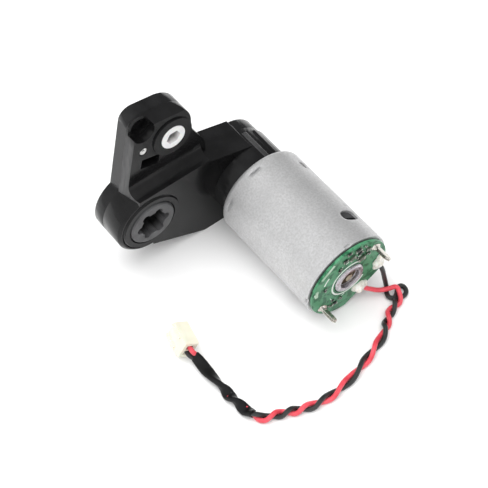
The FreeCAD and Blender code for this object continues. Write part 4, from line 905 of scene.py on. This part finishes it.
def sleeve_ring(centre, offset, heading, flare, pucker_at):
    """Oval section round the two wires, with small puckers, kept above the table."""
    reach = WIRE_RADIUS + SLEEVE_WALL
    long_way = offset.normalized()
    short_way = heading.cross(long_way).normalized()
    ring = []
    for i in range(SLEEVE_SIDES):
        turn = 2 * math.pi * i / SLEEVE_SIDES
        side = 1 if math.cos(turn) > 0 else -1
        middle = offset * side * min(1.0, abs(math.cos(turn)) * SLEEVE_CORNER)
        spot = middle + long_way * math.cos(turn) * reach
        spot += short_way * math.sin(turn) * reach * SLEEVE_TIGHT
        pucker = 1 + PUCKER_DEPTH * noise.noise(Vector((i * PUCKER_SIDES, pucker_at, PUCKER_SEED)))
        place = centre + spot * flare * pucker
        place.z = max(place.z, TABLE + SLEEVE_CLEAR)
        ring.append(place)
    return ring


def sleeve():
    """Shrunk tube whose oval section turns with the two wires in it, so it pinches at each crossing."""
    rings = []
    for k in range(SLEEVE_STEPS + 1):
        distance = SLEEVE_START + (PAIR_LENGTH - SLEEVE_START) * k / SLEEVE_STEPS
        centre, offset = twist_at(max(distance, SLEEVE_START + SLEEVE_INSIDE))
        heading = pair_at(distance)[1]
        flare = 1 + MOUTH_FLARE * max(0.0, 1 - k / MOUTH_STEPS)
        rings.append(sleeve_ring(centre, offset, heading, flare, distance * PUCKER_RUN))
    mesh = mesh_of(lambda form: loft(form, rings, cap_ends=False))
    piece = finished_piece("shrink_tube", mesh, [SLEEVE_TUBE])
    wall = piece.modifiers.new("wall", "SOLIDIFY")
    wall.thickness = SLEEVE_WALL * SLEEVE_WALL_SHOWN
    wall.offset = -1
    return piece


def make_leads(black_glue, red_glue):
    """The two wires and their sleeve, in place of the model's leads, tails and twisted pair."""
    black = wire("black_wire", BLACK_ROUTE, -1, BLACK_INSULATION)
    red = wire("red_wire", RED_ROUTE, 1, RED_INSULATION)
    tube = sleeve()
    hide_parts("shrink_sleeve")
    for colour, lead, route, length, glue in (
        ("black", black, BLACK_ROUTE, BLACK_LENGTH, black_glue),
        ("red", red, RED_ROUTE, RED_LENGTH, red_glue),
    ):
        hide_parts(colour + "_lead", colour + "_tail", "twisted_pair")


# Board

def glue_blob(name, replaced, lobes):
    """Lump of glue over a joint, of lobes that run into each other."""
    def build(form):
        for k, (radius, angle, size, height) in enumerate(lobes):
            made = bmesh.ops.create_icosphere(form, subdivisions=GLUE_DETAIL, radius=1.0)["verts"]
            base = on_board(radius, angle)
            for vert in made:
                bulge = 1 + GLUE_BULGE * noise.noise(vert.co * GLUE_BULGES + Vector((k, angle, 0)))
                spot = vert.co * bulge
                rise = max(spot.y, GLUE_FOOT) * height
                vert.co = base + Vector((spot.x * size * MM, rise * MM, spot.z * size * MM))

    piece = finished_piece(name, mesh_of(build), [GLUE])
    joined = piece.modifiers.new("joined", "REMESH")
    joined.mode = "VOXEL"
    joined.voxel_size = GLUE_VOXEL
    joined.use_smooth_shade = True
    soften = piece.modifiers.new("soften", "SMOOTH")
    soften.iterations = GLUE_SOFTENING
    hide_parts(replaced)
    return piece


def board_patch(form, radius, angle, outward, round_way, rise, turn=0.0, material=0):
    """Small block on the board with eased upper edges; sizes in mm."""
    round_axis, out_axis, up = axes_at(angle)
    spin = Matrix.Rotation(math.radians(turn), 3, up)
    round_axis = spin @ round_axis
    out_axis = spin @ out_axis
    base = on_board(radius, angle)
    half_out = outward / 2 * MM
    half_round = round_way / 2 * MM
    top = rise * MM
    inset = min(PATCH_EASE * MM, min(half_out, half_round) * PATCH_EASE_WIDTH, top * PATCH_EASE_HEIGHT)
    bend = (inset * PATCH_BEND[0], top - inset * PATCH_BEND[1])
    rings = []
    for inward, level in ((0.0, -PATCH_SINK * MM), (0.0, top - inset), bend, (inset, top)):
        ring = []
        for a, b in ((-1, -1), (1, -1), (1, 1), (-1, 1)):
            corner = base + out_axis * a * (half_out - inward) + round_axis * b * (half_round - inward)
            ring.append(corner + up * level)
        rings.append(ring)
    loft(form, rings, material=material)


def arc_print(form, inner, outer, start, end, steps):
    """Thin printed band on the board between two radii and two angles."""
    rings = []
    for k in range(steps + 1):
        angle = start + (end - start) * k / steps
        rings.append([
            on_board(inner, angle, -PRINT_SINK * MM), on_board(outer, angle, -PRINT_SINK * MM),
            on_board(outer, angle, PRINT_HEIGHT * MM), on_board(inner, angle, PRINT_HEIGHT * MM),
        ])
    loft(form, rings)


def board_print():
    """White print on the board: most of a ring round the bearing cup, a short arc and plain bars."""
    def build(form):
        for arc in PRINT_ARCS:
            arc_print(form, *arc)
        for radius, angle, outward, round_way, turn in PRINT_BARS:
            board_patch(form, radius, angle, outward, round_way, PRINT_HEIGHT, turn)

    piece = finished_piece("board_print", mesh_of(build), [PRINT_WHITE], smooth=False)


def chip(form, radius, angle, outward, round_way, rise, turn, body):
    """Small part with a soldered end on each side."""
    board_patch(form, radius, angle, outward, round_way * CHIP_BODY, rise, turn, material=body)
    round_axis, _, up = axes_at(angle)
    spin = Matrix.Rotation(math.radians(turn), 3, up)
    shift = spin @ round_axis * round_way * CHIP_END_PLACE * MM
    for end in (-1, 1):
        place = on_board(radius, angle) + shift * end - MOTOR
        reach = math.hypot(place.x, place.z) / MM
        heading = math.degrees(math.atan2(place.z, place.x))
        board_patch(
            form, reach, heading, outward * CHIP_END_OUTWARD, round_way * CHIP_END_ROUND,
            rise * CHIP_END_HEIGHT, turn + angle - heading, material=SOLDER_FACE,
        )


def board_components():
    """Small parts soldered to the board: two long pads, and chips with two soldered ends."""
    def build(form):
        for pad in PADS:
            board_patch(form, *pad, material=PAD_FACE)
        for values in CHIPS:
            chip(form, *values)

    piece = finished_piece(
        "board_components", mesh_of(build), [CHIP_BLACK, CHIP_BROWN, DULL_SOLDER, PALE_PAD], smooth=False,
    )


# Terminals

def blade_axes(name):
    """Foot of a terminal on the board, and its axes: across the blade, through it and off the board."""
    low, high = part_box(name)
    middle = (low + high) / 2 - MOTOR
    angle = math.degrees(math.atan2(middle.z, middle.x))
    across, through, up = axes_at(angle + BLADE_TURN)
    return on_board(math.hypot(middle.x, middle.z) / MM, angle), across, through, up


def spade_blade(name, replaced):
    """Terminal of two leaves folded on each other, with a blunt point."""
    foot, across, through, up = blade_axes(replaced)
    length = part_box(replaced)[1].y - BOARD_REAR

    # Level above the board, and shares of the width and of the leaf's thickness there
    sections = (
        (-BLADE_ROOT, 1.0, 1.0), (length - BLADE_POINT, 1.0, 1.0), (length - BLADE_POINT * 0.5, 0.80, 1.0),
        (length - BLADE_TIP, 0.46, 0.80), (length, 0.34, 0.45),
    )

    def build(form):
        for side in (-1, 1):
            middle = foot + through * side * (BLADE_LEAF + BLADE_GAP) / 2
            rings = []
            for level, wide, thick in sections:
                ring = []
                for k in range(BLADE_SIDES):
                    a, b = rounded(2 * math.pi * (k + 0.5) / BLADE_SIDES, BLADE_SQUARENESS)
                    spot = middle + across * (a * BLADE_WIDE / 2 * wide)
                    ring.append(spot + through * (b * BLADE_LEAF / 2 * thick) + up * level)
                rings.append(ring)
            loft(form, rings)

    piece = finished_piece(name, mesh_of(build), [TINNED], smooth=False)
    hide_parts(replaced)


def solder_fillets():
    """Solder climbing from the board up each terminal."""
    def build(form):
        for name in ("terminal_positive", "terminal_negative"):
            base, across, through, up = blade_axes(name)
            rings = []
            for k in range(FILLET_STEPS + 1):
                climb = k / FILLET_STEPS
                spread = (1 - climb) ** FILLET_CURVE
                half_across = (FILLET_ROUND[0] + FILLET_ROUND[1] * spread) * MM
                half_through = (FILLET_OUT[0] + FILLET_OUT[1] * spread) * MM
                level = climb * FILLET_HEIGHT - FILLET_SINK
                ring = []
                for i in range(FILLET_SIDES):
                    a, b = rounded(2 * math.pi * i / FILLET_SIDES, FILLET_SQUARENESS)
                    lump = noise.noise(Vector((i * FILLET_WOBBLES, base.x * FILLET_SEED, k)))
                    wobble = 1 + FILLET_WOBBLE * spread * lump
                    spot = base + across * a * half_across * wobble + through * b * half_through * wobble
                    ring.append(spot + up * level * MM)
                rings.append(ring)
            loft(form, rings)

    piece = finished_piece("solder_fillets", mesh_of(build), [TINNED])


# Gearbox

def collar_strip(form, angle, span, rise, material, bead):
    """Raised strip along the collar, rounded like a bead or flat."""
    start, end = STRIP_ENDS
    rings = []
    for level, lift in ((start, STRIP_RAMP_RISE), (start + STRIP_RAMP, 1.0), (end, 1.0)):
        crest = []
        root = []
        for k in range(STRIP_STEPS + 1):
            share = k / STRIP_STEPS
            if bead:
                crown = math.sin(math.pi * share) ** BEAD_ROUNDNESS
            else:
                crown = min(1.0, STRIP_FLANKS * min(share, 1 - share))
            place = angle + span * (share - 0.5)
            crest.append(round_motor(COLLAR_RADIUS + rise * crown * lift, place, level * MM))
            root.append(round_motor(COLLAR_RADIUS - STRIP_ROOT, place, level * MM))
        rings.append(crest + root[::-1])
    loft(form, rings, material=material)


def collar_strips():
    """Two raised strips that run along the collar: a narrow bead and a wide flat one, the flat one in a
    lighter grey that paints a reflection.
    """
    def build(form):
        for strip in COLLAR_STRIPS:
            collar_strip(form, *strip)

    piece = finished_piece("collar_strips", mesh_of(build), [BLACK_PLASTIC, SHEEN_STRIP_PLASTIC])
    piece.data.set_sharp_from_angle(angle=STRIP_SHARP_ANGLE)


def hole_insert():
    """White filling of the small hole in the ear, flat on one side, with a small pit in its middle that
    takes dark plastic as painted shade.
    """
    x, z = PEEP_PLACE
    wide = PEEP_SIZE[0] / 2
    high = PEEP_SIZE[1] / 2
    outline = []
    for k in range(PEEP_SIDES):
        turn = 2 * math.pi * k / PEEP_SIDES
        outline.append((min(wide * PEEP_FLAT * math.cos(turn), wide), high * math.sin(turn)))
    rings = []
    for share, level in PEEP_RINGS:
        y = EAR_FACE - PEEP_SUNK + level
        rings.append([(x + a * share, y, z + b * share) for a, b in outline])

    def build(form):
        loft(form, rings)
        for face in form.faces:
            middle = face.calc_center_median()
            # Faces of the pit take the dark cap plastic: a painted shade at the bottom of the hole
            if math.hypot(middle.x - x, middle.z - z) < wide * PEEP_PIT_SHARE:
                face.material_index = 1

    piece = finished_piece("hole_insert", mesh_of(build), [INSERT_PLASTIC, CAP_PLASTIC])


# Studio

def grey(tone):
    return tone, tone, tone, 1


def make_floor():
    """Plain pale table with a faint drift of tone."""
    def build(form):
        bmesh.ops.create_grid(form, x_segments=2, y_segments=2, size=FLOOR_REACH)

    finish = Finish("table_white", Roughness=0.9)
    finish.colour(finish.mix(finish.noise(0.02), (0.86, 0.86, 0.86), (0.89, 0.89, 0.89)))
    floor = linked("table", mesh_of(build))
    floor.data.materials.append(finish.material)
    floor.location.z = TABLE


def aimed(name, data, place, back):
    """Light or camera at a place, with its back that way."""
    item = linked(name, data)
    item.location = place
    item.rotation_mode = "QUATERNION"
    item.rotation_quaternion = Vector(back).to_track_quat("Z", "Y")
    return item


def area_light(name, place, size, power):
    """Round lamp that lights the part and isn't mirrored in it."""
    light = bpy.data.lights.new(name, "AREA")
    light.shape = "DISK"
    light.size = size
    light.energy = power
    aimed(name, light, place, Vector(place) - Vector(LIGHTS_AIM)).visible_glossy = False


def make_world():
    """Pale studio with one bright side; its backdrop shows plain and pale."""
    world = bpy.data.worlds.new("studio")
    bpy.context.scene.world = world
    world.use_nodes = True
    add = world.node_tree.nodes.new
    link = world.node_tree.links.new
    place = add("ShaderNodeTexCoord")
    toward = add("ShaderNodeVectorMath")
    toward.operation = "DOT_PRODUCT"
    toward.inputs[1].default_value = STUDIO_BRIGHT_SIDE
    reach = add("ShaderNodeMapRange")
    reach.inputs["From Min"].default_value = -1.0
    ramp = add("ShaderNodeValToRGB")
    seen = add("ShaderNodeLightPath")
    shown = add("ShaderNodeMix")
    shown.data_type = "RGBA"
    shown.inputs[7].default_value = grey(STUDIO_BACKDROP)
    link(place.outputs["Generated"], toward.inputs[0])
    link(toward.outputs["Value"], reach.inputs["Value"])
    link(reach.outputs["Result"], ramp.inputs["Fac"])
    link(seen.outputs["Is Camera Ray"], shown.inputs[0])
    link(ramp.outputs["Color"], shown.inputs[6])
    link(shown.outputs[2], world.node_tree.nodes["Background"].inputs["Color"])
    stops = ramp.color_ramp.elements
    for stop, (position, tone) in zip(stops, (STUDIO_TONES[0], STUDIO_TONES[-1])):
        stop.position = position
        stop.color = grey(tone)
    for position, tone in STUDIO_TONES[1:-1]:
        stops.new(position).color = grey(tone)


def make_camera():
    """Camera at the photo's angle."""
    camera = bpy.data.cameras.new("camera")
    camera.lens = CAMERA_LENS
    bpy.context.scene.camera = aimed("camera", camera, CAMERA_PLACE, CAMERA_BACK)


make_camera()
make_world()
make_floor()
for lamp in LAMPS:
    area_light(*lamp)
bpy.context.scene.view_settings.view_transform = "Standard"

dress_nodes()
make_can()
black_glue = glue_blob("black_glue", "black_joint", BLACK_GLUE)
red_glue = glue_blob("red_glue", "red_joint", RED_GLUE)
make_leads(black_glue, red_glue)
board_print()
board_components()
for pole in ("positive", "negative"):
    spade_blade("blade_" + pole, "terminal_" + pole)
solder_fillets()
collar_strips()
hole_insert()
